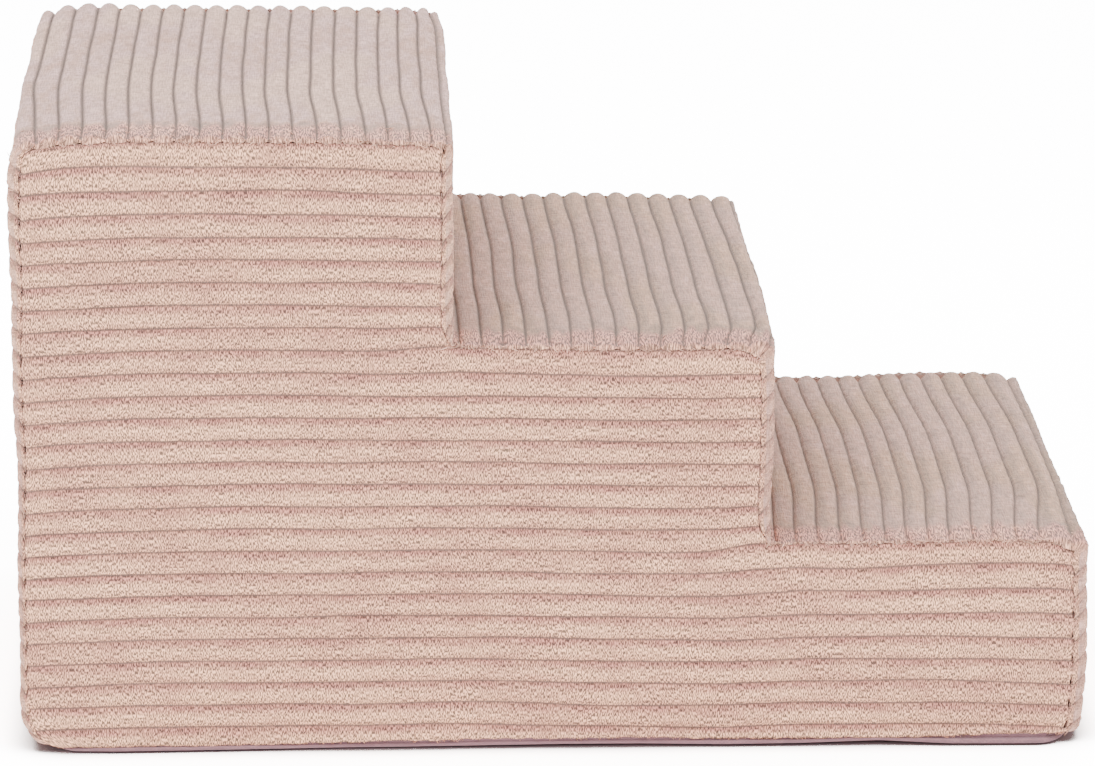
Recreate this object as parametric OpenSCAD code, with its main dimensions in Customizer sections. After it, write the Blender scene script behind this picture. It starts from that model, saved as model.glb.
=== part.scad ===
/* [Stairs] */
// Overall length, from the back of the cover to the front of the lowest step
stair_length = 680; // [600:5:800]
// Overall width across the treads
stair_width = 400; // [300:5:520]
// Height of the lowest tread above the floor
first_rise = 136; // [110:1:180]
// Rise of each of the two steps above it
step_rise = 132; // [110:1:180]
// Run of the top tread, which is deeper than the others
top_run = 276; // [220:2:320]
// Run of the middle tread
middle_run = 202; // [150:2:240]

/* [Corduroy] */
// Distance from one rib of the corduroy to the next
rib_pitch = 14.7; // [10:0.1:20]
// Depth of the groove between two ribs
groove_depth = 3.2; // [1.5:0.1:3.6]
// Height of the pile above its woven backing
pile_height = 4; // [3.8:0.1:5]
// Thickness of the woven backing
backing = 1.3; // [1:0.1:2]
// Width of a tread's cover that turns down over its long edges
tread_lip = 7; // [7:0.5:12]
// Width of the back and riser covers that turns round onto the sides
riser_lip = 9; // [8:0.5:14]
// Radius of the cover along its edges
edge_radius = 6; // [3:0.5:6.5]
// Width of the open seam between two piles, where the thread lies
seam_gap = 1.4; // [1.3:0.1:1.8]
// Thickness of the thread in the seams
thread = 1; // [0.5:0.1:1.1]

/* [Base] */
// Thickness of the base cloth
base_cloth = 1.2; // [0.8:0.1:2]
// Height of the base cloth's border above the floor
border_height = 6; // [5:0.5:10]
// Radius of the base cloth under the back and front edges
foot_radius = 8; // [6:0.5:9]
// Radius of the base cloth under the near long edge
side_radius = 4; // [3:0.5:5]
// Height of a grip dot under the base cloth
dot_height = 0.8; // [0.6:0.1:1.2]
// Diameter of a grip dot
dot_width = 5; // [2:0.5:10]
// Distance between neighbouring grip dots
dot_pitch = 30; // [20:1:50]
// Bare margin of the base cloth outside the grip dots
dot_margin = 22; // [16:1:40]

/* [Zip] */
// Thickness of the zip tape
tape = 0.7; // [0.5:0.1:1]
// Height of the lower zip tape
lower_tape_height = 3.2; // [3:0.1:4]
// Height of the upper zip tape, most of which is sewn behind the cover
upper_tape_height = 8; // [7:0.1:10]
// Slot between the two tapes, where the slider's bridge runs
zip_slot = 0.8; // [0.7:0.1:1.2]
// Thickness of the coil sewn behind each tape
coil_depth = 1.2; // [0.8:0.1:1.6]
// Height of the coil sewn behind each tape
coil_height = 1.4; // [0.8:0.1:1.8]
// Thickness of the stops that close both ends of the zip
stop_plate = 0.9; // [0.6:0.1:1.1]
// Length of each stop
stop_length = 3; // [2:0.5:5]
// Height of the zip slider
slider_height = 5.4; // [5:0.1:6]
// Length of the zip slider
slider_length = 10; // [8:0.5:12]
// Thickness of each plate of the zip slider
slider_plate = 1; // [0.7:0.1:1.1]
// Running clearance round the slider
slider_gap = 0.3; // [0.2:0.05:0.4]
// Length of the pull tab from its pivot to its tip
pull_length = 20; // [14:1:26]
// Width of the pull tab
pull_width = 3.4; // [2.6:0.1:3.8]
// Thickness of the pull tab
pull_plate = 1.1; // [0.9:0.1:1.2]
// Radius of the pin that the pull tab turns on
pin_radius = 0.45; // [0.35:0.05:0.5]
// Running clearance between the pin and the pull tab's eye
pin_clearance = 0.08; // [0.04:0.01:0.1]

/* [Hidden] */
$fn = 48;

// Colours of the materials
pile_colour = [0.82, 0.70, 0.66];
foam_colour = [0.93, 0.91, 0.84];
mauve = [0.68, 0.53, 0.58];
thread_colour = [0.62, 0.50, 0.48];
dot_colour = [0.80, 0.76, 0.76];
metal_colour = [0.60, 0.50, 0.53];

// Overrun of the cutting shapes past the surfaces that they cut
cut = 2;

// Steps are counted from the floor: 1 is the lowest, 3 is the highest
step_count = 3;
x_back = -stair_length / 2;
x_front = stair_length / 2;
y_side = stair_width / 2;
function z_top(step) = first_rise + (step - 1) * step_rise;
function x_nose(step) =
    step == step_count ? x_back + top_run
    : step == 1 ? x_front
    : x_back + top_run + middle_run;
z_all = z_top(step_count);

// The cover lies on the foam with a small ease
cover = backing + pile_height;
ease = backing / 10;

// A rib is an arc over the pitch, and its radius follows from the groove's depth
rib_radius = (pow(rib_pitch / 2, 2) + pow(groove_depth, 2)) / (2 * groove_depth);

// The first groove of each face, as a share of the pitch past the face's start
top_groove_share = 0.87;
middle_groove_share = 0.25;
lower_groove_share = 0.5;
riser_groove_share = 0.8;
side_groove_share = 0.07;

// The lowest grooves of the back and side faces
back_groove = border_height + seam_gap / 2
    + ((z_all - border_height) / rib_pitch - riser_groove_share) % 1 * rib_pitch;
side_groove = border_height
    + ((z_all - border_height) / rib_pitch - side_groove_share) % 1 * rib_pitch;

// Heights of the layers under the foam
cloth_low = dot_height;
cloth_high = dot_height + base_cloth;
foam_low = cloth_high + ease;

// The zip stands in the far bottom edge, with its tapes just inside the side panel
tape_inset = cover + ease;
lower_tape_high = cloth_high + lower_tape_height;
zip_mid = lower_tape_high + zip_slot / 2;
upper_tape_low = lower_tape_high + zip_slot;
upper_tape_high = upper_tape_low + upper_tape_height;
hem = zip_mid + slider_height / 2 + slider_gap;
coil_inset = tape_inset + tape;
inner_plate_inset = coil_inset + coil_depth + slider_gap;
rebate_inset = inner_plate_inset + slider_plate + slider_gap;
rebate_high = upper_tape_high + slider_gap;
zip_back = x_back + riser_lip + seam_gap;
zip_front = x_front - riser_lip - seam_gap;

// The slider parks at the back end, where the pull tab can still turn over and lie flat
slider_x = zip_back + pull_length + slider_gap;
stop_far = slider_x - slider_length / 2 - slider_gap;
outer_plate_inset = tape_inset - slider_gap - slider_plate;
bridge_share = 0.6;
bridge_thick = zip_slot * bridge_share;

// The pull tab turns on a pin between two lugs of the slider
eye_radius = pin_radius + pin_clearance + pull_plate / 2;
pivot_inset = outer_plate_inset - eye_radius - slider_gap / 2;
lug_inner = pull_width / 2 + slider_gap / 2;
lug_outer = slider_height / 2;
lug_share = 0.3;
tab_hole_share = 0.28;
tab_hole_place_share = 0.72;

// The seam thread lies on the backing, between the two piles
thread_inset = pile_height - ease - thread / 2;

module box(low, high) {
    translate(low) cube(high - low);
}

// Extrudes an outline drawn in X and Z across the width, from y0 to y1
module across(y0, y1) {
    translate([0, y1, 0]) rotate([90, 0, 0]) linear_extrude(y1 - y0) children();
}

// Extrudes an outline drawn in Y and Z along the length, from x0 to x1
module along(x0, x1) {
    translate([x0, 0, 0]) rotate([90, 0, 90]) linear_extrude(x1 - x0) children();
}

// Rectangle from low to high, whose corners at the named ends have radius r
module soft_rectangle(low, high, r, bottom = true, top = true) {
    difference() {
        translate(low) square(high - low);
        for (end = [0, 1], level = [0, 1])
            if (level == 0 ? bottom : top)
                translate([end == 0 ? low[0] : high[0], level == 0 ? low[1] : high[1]])
                    mirror([end, 0]) mirror([0, level]) corner_waste(r);
    }
}

module corner_waste(r) {
    difference() {
        translate([-cut, -cut]) square(r + cut);
        translate([r, r]) circle(r);
    }
}

// Ribbed face from a to b, with crests at height 0, its back at -cover and a groove at first
module ribbed_face(a, b, first) {
    last = ceil((b - a) / rib_pitch) + 1;
    intersection() {
        translate([a, -cover]) square([b - a, cover]);
        for (k = [-2 : last])
            translate([first + (k + 0.5) * rib_pitch, -rib_radius]) circle(rib_radius);
    }
}

// Turns a face drawn along X so that it runs up, with its crests towards +X or -X
module facing_front(x) {
    translate([x, 0]) rotate(90) mirror([0, 1]) children();
}
module facing_back(x) {
    translate([x, 0]) rotate(90) children();
}

// Where the pile of a step's tread starts, and how far down its riser goes
function tread_start(step) =
    step == step_count ? x_back : x_nose(step + 1) - pile_height + ease;
function riser_foot(step) = step == 1 ? border_height : z_top(step - 1) - cover;
function riser_pile_foot(step) =
    step == 1 ? border_height + seam_gap / 2 : z_top(step - 1) + ease;
function tread_groove(step) =
    step == step_count ? x_back + top_groove_share * rib_pitch
    : step == 1 ? x_nose(2) + lower_groove_share * rib_pitch
    : x_nose(3) + middle_groove_share * rib_pitch;
function riser_groove(step) =
    riser_pile_foot(step)
    + ((z_top(step) - riser_pile_foot(step)) / rib_pitch - riser_groove_share) % 1 * rib_pitch;

// Outline of a step's cover in X and Z: its tread, the rib round its nose, and its riser
module step_outline(step) {
    nose = x_nose(step);
    top = z_top(step);
    translate([0, top]) ribbed_face(tread_start(step), nose - edge_radius, tread_groove(step));
    facing_front(nose) ribbed_face(riser_pile_foot(step), top - edge_radius, riser_groove(step));
    difference() {
        translate([nose - cover - edge_radius, top - cover - edge_radius])
            square(cover + edge_radius);
        translate([nose - 2 * cover - edge_radius, top - 2 * cover - edge_radius])
            square(cover + edge_radius);
    }
}

// What lies inside the rounded edges of a step, which pass just clear of the ribs' crests
module inside_edges(step) {
    back = x_back - ease;
    nose = x_nose(step) + ease;
    side = y_side + ease;
    top = z_top(step) + ease;
    intersection() {
        along(back - cut, x_front + cut)
            soft_rectangle([-side, -cut], [side, top], edge_radius, bottom = false);
        across(-side - cut, side + cut)
            soft_rectangle([back, -cut], [nose, top], edge_radius, bottom = false);
        translate([0, 0, -cut]) linear_extrude(top + 2 * cut)
            soft_rectangle([back, -side], [nose, side], edge_radius);
    }
}

// What lies above the rounded bottom edges at the back and front
module above_foot(inset, low, r) {
    across(-y_side - cut, y_side + cut)
        soft_rectangle([x_back + inset, low], [x_front - inset, z_all + cut], r, top = false);
}

// The part of a tread's cover that turns down over the two long edges
module tread_lips(step) {
    start = step == step_count ? x_back + cover + ease : tread_start(step);
    nose = x_nose(step);
    top = z_top(step);
    for (side = [0, 1]) mirror([0, side, 0]) {
        box([start, y_side - cover, top - tread_lip], [nose, y_side - pile_height, top - cover]);
        translate([0, y_side, top - tread_lip + seam_gap / 2])
            linear_extrude(tread_lip - seam_gap / 2 - backing)
                ribbed_face(start, nose, tread_groove(step));
    }
}

// The part of a riser's cover that turns round onto the two sides
module riser_lips(step) {
    nose = x_nose(step);
    foot = step == 1 ? border_height : z_top(step - 1) - tread_lip;
    pile_foot = step == 1 ? riser_pile_foot(1) : foot + seam_gap / 2;
    top = z_top(step) - cover;
    for (side = [0, 1]) mirror([0, side, 0]) {
        box([nose - riser_lip, y_side - cover, foot], [nose - cover, y_side - pile_height, top]);
        along(nose - riser_lip + seam_gap / 2, nose - cover)
            facing_front(y_side) ribbed_face(pile_foot, top, riser_groove(step));
    }
}

module step_cover(step) {
    color(pile_colour) intersection() {
        union() {
            across(-y_side, y_side) step_outline(step);
            box([x_nose(step) - cover, -y_side + pile_height, riser_foot(step)],
                [x_nose(step) - pile_height, y_side - pile_height, z_top(step) - cover]);
            tread_lips(step);
            riser_lips(step);
        }
        inside_edges(step);
        above_foot(0, cloth_low - pile_height, foot_radius + pile_height);
    }
}

// The back face's cover, with its lips and its pile below the top seam
module back_panel() {
    top = z_all - cover - seam_gap;
    lip_top = z_all - tread_lip;
    pile_foot = border_height + seam_gap / 2;
    color(pile_colour) intersection() {
        union() {
            across(-y_side, y_side) facing_back(x_back) ribbed_face(pile_foot, top, back_groove);
            box([x_back + pile_height, -y_side + pile_height, border_height],
                [x_back + cover, y_side - pile_height, z_all - cover]);
            for (side = [0, 1]) mirror([0, side, 0]) {
                box([x_back + pile_height, y_side - cover, border_height],
                    [x_back + riser_lip, y_side - pile_height, lip_top]);
                along(x_back + cover, x_back + riser_lip - seam_gap / 2)
                    facing_front(y_side) ribbed_face(pile_foot, lip_top - seam_gap / 2, back_groove);
            }
        }
        inside_edges(step_count);
        above_foot(0, cloth_low - pile_height, foot_radius + pile_height);
    }
}

// The seam line on a side face in X and Z, drawn in by extra from the seam, up from foot
function seam_line(extra, foot) = [
    [x_back + riser_lip + extra, foot],
    [x_back + riser_lip + extra, z_top(3) - tread_lip - extra],
    [x_nose(3) - riser_lip - extra, z_top(3) - tread_lip - extra],
    [x_nose(3) - riser_lip - extra, z_top(2) - tread_lip - extra],
    [x_nose(2) - riser_lip - extra, z_top(2) - tread_lip - extra],
    [x_nose(2) - riser_lip - extra, z_top(1) - tread_lip - extra],
    [x_front - riser_lip - extra, z_top(1) - tread_lip - extra],
    [x_front - riser_lip - extra, foot]
];

// A side panel at +Y, whose pile ends at the seams and at foot
module side_panel(foot, pile_foot) {
    across(y_side - cover, y_side - pile_height) polygon(seam_line(0, foot));
    intersection() {
        across(y_side - cover, y_side) polygon(seam_line(seam_gap / 2, pile_foot));
        along(x_back, x_front) facing_front(y_side) ribbed_face(pile_foot, z_all, side_groove);
    }
}

module side_panel_near() {
    color(pile_colour) mirror([0, 1, 0]) side_panel(border_height, border_height + seam_gap / 2);
}
module side_panel_far() {
    color(pile_colour) side_panel(hem, hem);
}

// A slab of foam for one step, between the covers
module foam_block(step, low) {
    inset = cover + ease;
    box([x_back + inset, -y_side + inset, low],
        [x_nose(step) - inset, y_side - inset, z_top(step) - inset]);
}

module foam_slab_upper() {
    color(foam_colour) foam_block(3, z_top(2) - cover - ease);
}
module foam_slab_middle() {
    color(foam_colour) foam_block(2, z_top(1) - cover - ease);
}

// The lowest slab is cut away behind the zip
module foam_slab_lower() {
    color(foam_colour) difference() {
        intersection() {
            foam_block(1, foam_low);
            tray_form(cover + ease, foam_low, base_cloth);
        }
        box([x_back, y_side - rebate_inset, 0], [x_front, y_side, rebate_high]);
    }
}

// The form of the base cloth's tray, whose radii are smaller by less
module tray_form(inset, low, less) {
    intersection() {
        above_foot(inset, low, foot_radius - less);
        along(x_back, x_front)
            difference() {
                translate([-y_side + inset, low]) square([stair_width - 2 * inset, z_all]);
                translate([-y_side + inset, low]) corner_waste(side_radius - less);
            }
    }
}

// The base cloth lies flat, and its border turns up at the near side, the back and the front
module base_cloth_panel() {
    color(mauve) difference() {
        tray_form(cover - base_cloth, cloth_low, 0);
        tray_form(cover, cloth_high, base_cloth);
        translate([0, 0, border_height])
            linear_extrude(2 * z_all) square(2 * stair_length, center = true);
        box([zip_back, y_side - rebate_inset, cloth_high], [zip_front, y_side, border_height + cut]);
    }
}

// Rows of raised dots under the base cloth, counted from the dot in the middle
module grip_dots() {
    columns = floor((stair_length - 2 * dot_margin - dot_width) / 2 / dot_pitch);
    rows = floor((stair_width - 2 * dot_margin - dot_width) / 2 / dot_pitch);
    color(dot_colour)
        for (i = [-columns : columns], j = [-rows : rows])
            translate([i * dot_pitch, j * dot_pitch, 0])
                cylinder(h = dot_height, d = dot_width, $fn = 24);
}

// A straight run of thread from a to b, with a rounded end at a
module strand(a, b) {
    run = b - a;
    translate(a) {
        sphere(d = thread, $fn = 16);
        rotate([0, acos(run[2] / norm(run)), atan2(run[1], run[0])])
            cylinder(h = norm(run), d = thread, $fn = 16);
    }
}

// Thread along the seam of a side panel at +Y
module side_thread(foot) {
    line = seam_line(0, foot);
    y = y_side - thread_inset;
    for (i = [0 : len(line) - 2])
        strand([line[i][0], y, line[i][1]], [line[i + 1][0], y, line[i + 1][1]]);
}

module seam_thread_near() {
    color(thread_colour) mirror([0, 1, 0]) side_thread(border_height + seam_gap);
}
module seam_thread_far() {
    color(thread_colour) side_thread(hem + seam_gap);
}

// Thread across the back, under the top tread's cover
module seam_thread_back() {
    x = x_back + thread_inset;
    y = y_side - riser_lip - seam_gap;
    z = z_all - cover - seam_gap / 2;
    color(thread_colour) strand([x, -y, z], [x, y, z]);
}

// Thread along the top of the base border, round the back, the near side and the front
module seam_thread_base() {
    back = x_back + thread_inset;
    front = x_front - thread_inset;
    near = -y_side + thread_inset;
    far = y_side - riser_lip - seam_gap;
    z = border_height;
    color(thread_colour) {
        strand([back, far, z], [back, near, z]);
        strand([back, near, z], [front, near, z]);
        strand([front, near, z], [front, far, z]);
    }
}

// A strip along the zip, behind the side panel, from one height to another
module zip_strip(inset, depth, low, high) {
    box([zip_back, y_side - inset - depth, low], [zip_front, y_side - inset, high]);
}

module zip_tape_upper() {
    color(mauve) zip_strip(tape_inset, tape, upper_tape_low, upper_tape_high);
}
module zip_tape_lower() {
    color(mauve) zip_strip(tape_inset, tape, cloth_high, lower_tape_high);
}
module zip_coil_upper() {
    color(mauve) zip_strip(coil_inset, coil_depth, upper_tape_low, upper_tape_low + coil_height);
}
module zip_coil_lower() {
    color(mauve) zip_strip(coil_inset, coil_depth, lower_tape_high - coil_height, lower_tape_high);
}

// A stop at each end of the zip, clamped on the faces of both tapes
module zip_end_stops() {
    color(metal_colour)
        for (x = [stop_far - stop_length, -stop_far])
            box([x, y_side - tape_inset, zip_mid - slider_height / 3],
                [x + stop_length, y_side - tape_inset + stop_plate, zip_mid + slider_height / 3]);
}

// One plate of the slider, with rounded corners, from inset outwards
module slider_plate_at(inset) {
    half = slider_length / 2;
    across(y_side - inset - slider_plate, y_side - inset)
        soft_rectangle([slider_x - half, zip_mid - slider_height / 2],
            [slider_x + half, zip_mid + slider_height / 2], slider_height / 4);
}

// Two plates joined by a bridge through the slot, and two lugs that carry the pull tab's pin
module zip_slider() {
    pivot_y = y_side - pivot_inset;
    face_y = y_side - outer_plate_inset;
    back_y = y_side - inner_plate_inset - slider_plate / 2;
    lug = slider_length * lug_share / 2;
    color(metal_colour) {
        slider_plate_at(outer_plate_inset);
        slider_plate_at(inner_plate_inset);
        box([slider_x - slider_length / 4, back_y, zip_mid - bridge_thick / 2],
            [slider_x + slider_length / 4, face_y - slider_plate / 2, zip_mid + bridge_thick / 2]);
        for (side = [0, 1]) translate([0, 0, zip_mid]) mirror([0, 0, side])
            box([slider_x - lug, face_y - slider_plate / 2, lug_inner],
                [slider_x + lug, pivot_y + pin_radius, lug_outer]);
        translate([slider_x, pivot_y, zip_mid - lug_outer]) cylinder(h = 2 * lug_outer, r = pin_radius);
    }
}

// Flat tab with an eye for the pin at one end and a hole near the other
module zip_pull_tab() {
    pivot_y = y_side - pivot_inset;
    half = pull_width / 2;
    hole = pull_width * tab_hole_share;
    color(metal_colour) difference() {
        union() {
            translate([slider_x, pivot_y, zip_mid - half]) cylinder(h = pull_width, r = eye_radius);
            across(pivot_y - pull_plate / 2, pivot_y + pull_plate / 2)
                soft_rectangle([slider_x, zip_mid - half],
                    [slider_x + pull_length, zip_mid + half], half / 2);
        }
        translate([slider_x, pivot_y, zip_mid - half - cut])
            cylinder(h = pull_width + 2 * cut, r = pin_radius + pin_clearance);
        across(pivot_y - eye_radius - cut, pivot_y + eye_radius + cut)
            translate([slider_x + pull_length * tab_hole_place_share, zip_mid]) circle(hole);
    }
}

foam_slab_lower();
foam_slab_middle();
foam_slab_upper();
side_panel_near();
side_panel_far();
back_panel();
step_cover(3);  // step_cover_top
step_cover(2);  // step_cover_middle
step_cover(1);  // step_cover_lower
base_cloth_panel();
grip_dots();
seam_thread_near();
seam_thread_far();
seam_thread_back();
seam_thread_base();
zip_tape_upper();
zip_tape_lower();
zip_coil_upper();
zip_coil_lower();
zip_end_stops();
zip_slider();
zip_pull_tab();
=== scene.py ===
import math

import bmesh
import bpy
import numpy as np
from mathutils import Matrix, Vector


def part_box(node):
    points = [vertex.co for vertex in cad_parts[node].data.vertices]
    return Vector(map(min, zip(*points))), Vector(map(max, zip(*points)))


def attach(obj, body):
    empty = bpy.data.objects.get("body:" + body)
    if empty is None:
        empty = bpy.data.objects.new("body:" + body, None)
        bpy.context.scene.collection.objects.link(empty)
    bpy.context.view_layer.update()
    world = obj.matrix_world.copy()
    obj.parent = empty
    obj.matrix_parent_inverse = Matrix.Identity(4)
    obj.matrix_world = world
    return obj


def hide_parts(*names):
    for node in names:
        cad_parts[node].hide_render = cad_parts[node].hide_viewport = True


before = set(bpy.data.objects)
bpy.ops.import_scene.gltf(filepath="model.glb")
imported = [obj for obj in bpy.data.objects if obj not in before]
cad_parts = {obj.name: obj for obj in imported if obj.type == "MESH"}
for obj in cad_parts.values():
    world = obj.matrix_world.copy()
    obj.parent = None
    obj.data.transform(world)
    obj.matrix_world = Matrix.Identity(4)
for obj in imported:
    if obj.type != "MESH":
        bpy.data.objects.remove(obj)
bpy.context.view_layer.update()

MM = 0.001

# ---------------------------------------------------------------- sizes of the stairs

BACK, FRONT, SIDE = -340 * MM, 340 * MM, 200 * MM
TOPS = {3: 400 * MM, 2: 268 * MM, 1: 136 * MM}
NOSES = {3: -64 * MM, 2: 138 * MM, 1: 340 * MM}
STEP_NAMES = {3: "top", 2: "middle", 1: "lower"}
PITCH = 14.7 * MM
GROOVE = 3.2 * MM
NOSE_RADIUS = 10.5 * MM
SEAM_ROLL = 1.1 * MM
PAD = 4.6 * MM
# How far from a seam its shade reaches
SEAM_SHADE = 2.6 * MM

# The side panels' lowest groove and top seam, and the ribs that end at the two lower treads
LOWEST_GROOVE, TOP_SEAM = 1.8 * MM, 396 * MM
RIBS, RIBS_BELOW = 27, {2: 18, 1: 9}

# Samples across one rib, closer together beside the grooves
RIB_SHARES = np.array([0, .02, .05, .09, .15, .25, .38, .5, .62, .75, .85, .91, .95, .98])
PER_RIB = len(RIB_SHARES)
# Places beside a seam where the cloth rolls in
ROLL_PLACES = np.array([0, .35, .8, 1.4, 2.2, 3.2, 4.6, 6.4]) * MM

# How far a tread runs back under the riser above, and where the lowest edges of plush are
TREAD_TUCK = 4.2 * MM
FRONT_FOOT, BACK_FOOT = 6.5 * MM, 5.6 * MM
# How far the far edges of the back and front lie inwards beside the zip, in mm
TAB_ROOM = 5.2


# ---------------------------------------------------------------- numbers over the cloth

def smooth(low, high, value):
    t = np.clip((value - low) / (high - low), 0, 1)
    return t * t * (3 - 2 * t)


def rise(low, high, place):
    """From 0 to 1 between two places, given in mm."""
    return smooth(low * MM, high * MM, place)


def read(table, place):
    """What a table of places and amounts, all in mm, says at a place."""
    return MM * np.interp(place / MM, *np.array(table).T)


def rib_wave(z, start=0):
    """A wave with one crest to a rib."""
    return np.sin(z / PITCH * 2 * math.pi + start)


class Unevenness:
    """A smooth seeded unevenness over two coordinates of the cloth, about 1 high."""

    def __init__(self, seed, length, count=9):
        draw = np.random.default_rng(seed)
        turn = draw.uniform(0, 2 * math.pi, count)
        wave = length * draw.uniform(0.7, 2.2, count)
        self.a = 2 * math.pi * np.cos(turn) / wave
        self.b = 2 * math.pi * np.sin(turn) / wave
        self.start = draw.uniform(0, 2 * math.pi, count)
        self.share = math.sqrt(2 / count)

    def __call__(self, a, b):
        waves = zip(self.a, self.b, self.start)
        return self.share * sum(np.sin(ka * a + kb * b + start) for ka, kb, start in waves)


def unit(vectors):
    return vectors / (np.linalg.norm(vectors, axis=-1, keepdims=True) + 1e-12)


def roll_depth(distance, radius):
    """How far the cloth has turned in at a distance from its seam."""
    out = np.clip(1 - distance / radius, 0, 1)
    return radius * (1 - np.sqrt(np.clip(1 - out * out, 0, 1)))


def tuck_foot(x, z, y=SIDE):
    """Draws the foot of the back and front in towards the base, most at the back's corners."""
    corner = rise(120, 190, np.abs(y))
    back = (12 + 16 * corner) * np.exp(-z / ((6 + 2 * corner) * MM))
    front = 12 * np.exp(-z / (6 * MM))
    return x - np.sign(x) * np.where(x < 0, back, front) * MM * rise(280, 334, np.abs(x))


# How far the stuffed cover bulges past its square outline: places and amounts, in mm
BACK_BULGE = ((0, 2.6), (12, 1.8), (60, 0.9), (120, 1.0), (165, 0.2), (195, -0.3), (226, 1.4),
              (272, 2.0), (302, 1.1), (347, 2.8), (378, 2.4), (392, 0), (402, 0))
FRONT_BULGE = ((0, 1.2), (28, 1.6), (50, 3.0), (90, 2.8), (104, 1.8), (136, 1.5))
TOP_DOME = ((-340, 0), (-321, 2.7), (-304, 4.8), (-250, 4.4), (-200, 4.0), (-134, 3.0),
            (-110, 1.4), (-90, 0.5), (-64, 0))
# How far the back rim of the top lies inwards, along the width
BACK_RIM = ((-200, 6.4), (-190, 5.2), (-169, 2.0), (-146, 1.3), (-123, 0.7), (-90, 0.3),
            (-55, -0.6), (-20, -1.5), (13, -0.9), (58, -0.1), (126, -0.1), (160, 0.1),
            (185, 0.8), (200, 1.5))
# How far the middle nose stands out, along the width
MIDDLE_NOSE = ((-200, -0.8), (-168, 1.6), (-112, 2.2), (-56, 2.8), (0, 2.2), (50, 1.0),
               (120, 0.6), (200, 0.2))
# How far the far edges of the treads lie upwards
TOP_FAR = ((-340, 0.5), (-320, 2.4), (-300, 1.8), (-275, 0.3), (-240, 0.4), (-215, 0),
           (-130, 0), (-110, 0.6), (-90, 1.8), (-64, 1.6))
MIDDLE_FAR = ((-64, 1.5), (-36, 1.7), (-3, 1.1), (30, 2.2), (55, 1.9), (81, 0.8), (97, 0),
              (120, -0.6), (138, -1.0))
LOWER_FAR = ((138, -1.0), (199, -1.2), (233, -1.8), (250, -0.9), (284, -0.6), (318, -0.4),
             (340, 0))


def settle(x, y, z):
    """Where the stuffed cover lies: squarer noses, bulging back and front, a domed top."""
    x, y, z = np.broadcast_arrays(x, y, z)
    new_x, new_z = tuck_foot(x, z, y), z
    for step in STEP_NAMES:
        dx = np.maximum(x - NOSES[step] + NOSE_RADIUS, 0)
        dz = np.maximum(z - TOPS[step] + NOSE_RADIUS, 0)
        out = np.hypot(dx, dz) + 1e-9
        grow = ((dx / out) ** 5 + (dz / out) ** 5 + 1e-9) ** -0.2 - 1
        grow = np.where((dx > 0) & (dz > 0), grow, 0)
        new_x, new_z = new_x + dx * grow, new_z + dz * grow
    far, low = rise(60, 190, y), rise(-190, -135, y)
    rim = low * rise(352, 386, z) + (1 - low) * rise(388, 402, z)
    middle = rise(225, 262, z) * (1 - rise(272, 285, z))
    lower = rise(100, 132, z) * (1 - rise(140, 152, z))
    corner = rise(-100, -64, x) * rise(140, 195, y) * rise(330, 395, z)
    low_dome = (0.9 + 1.3 * rise(200, 250, x) * rise(-50, 190, y)) * rise(142, 165, x)
    new_x = (new_x
             - read(BACK_BULGE, z) * (1 - rise(-336, -250, x)) * (1 - 0.5 * rise(-150, 150, y))
             + read(BACK_RIM, y) * rim * (1 - rise(-340, -296, x))
             + read(FRONT_BULGE, z) * rise(250, 334, x) * (1 - 0.4 * rise(-100, 200, y))
             + read(MIDDLE_NOSE, y) * middle * rise(90, 134, x)
             + 1.8 * MM * rise(90, 134, x) * rise(150, 200, z)
             + 1.0 * MM * rise(-110, -68, x) * rise(285, 330, z)
             - 2.6 * MM * corner)
    new_z = (new_z
             + read(TOP_DOME, x) * rise(330, 400, z)
             + read(TOP_FAR, x) * far * rise(360, 400, z)
             + read(MIDDLE_FAR, x) * middle * far * rise(-75, -64, x)
             + read(LOWER_FAR, x) * lower * far * rise(127, 138, x)
             + low_dome * (1 - rise(318, 338, x)) * MM * rise(60, 136, z)
             - 0.9 * MM * corner)
    return new_x, new_z


# Along the near side: height of the plush's lower edge, lift of the base border off the
# floor, and how far the border's lower fold is pressed outwards
NEAR_HEM = ((-340, 2.6), (-220, 2.4), (-187, 2.5), (-137, 4.4), (-87, 5.1), (8, 5.1), (58, 5.6),
            (109, 4.0), (159, 4.2), (209, 3.7), (254, 4.1), (285, 5.1), (304, 5.4), (340, 5.7))
BASE_LIFT = ((-340, -0.5), (-120, -0.4), (-43, 0.0), (8, 0.4), (58, 0.3), (109, -0.1),
             (159, 0.1), (209, 1.2), (254, -0.3), (285, -0.5), (340, -0.5))
BASE_BULGE = ((-340, 0), (-325, 3), (-301, 5.5), (-280, 7), (-232, 6), (-187, 4.5), (-137, 2.4),
              (-87, 2.6), (-43, 2.2), (8, 2.2), (58, 2.8), (109, 5.5), (159, 5), (209, 4),
              (254, 8.6), (304, 9.8), (318, 9.4), (332, 6.5), (340, 3.5))

# Where the cloth of the side panels is pulled up or down: x, z, reach in x and z, lift
PULLS = [
    (-345, 200, 35, 400, -2.0),
    (-75, 370, 45, 75, -3.0),
    (-64, 268, 30, 16, 3.5),
    (140, 134, 35, 30, 4.0),
    (290, 130, 95, 34, 5.0),
    (330, 35, 60, 45, -2.6),
]
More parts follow.
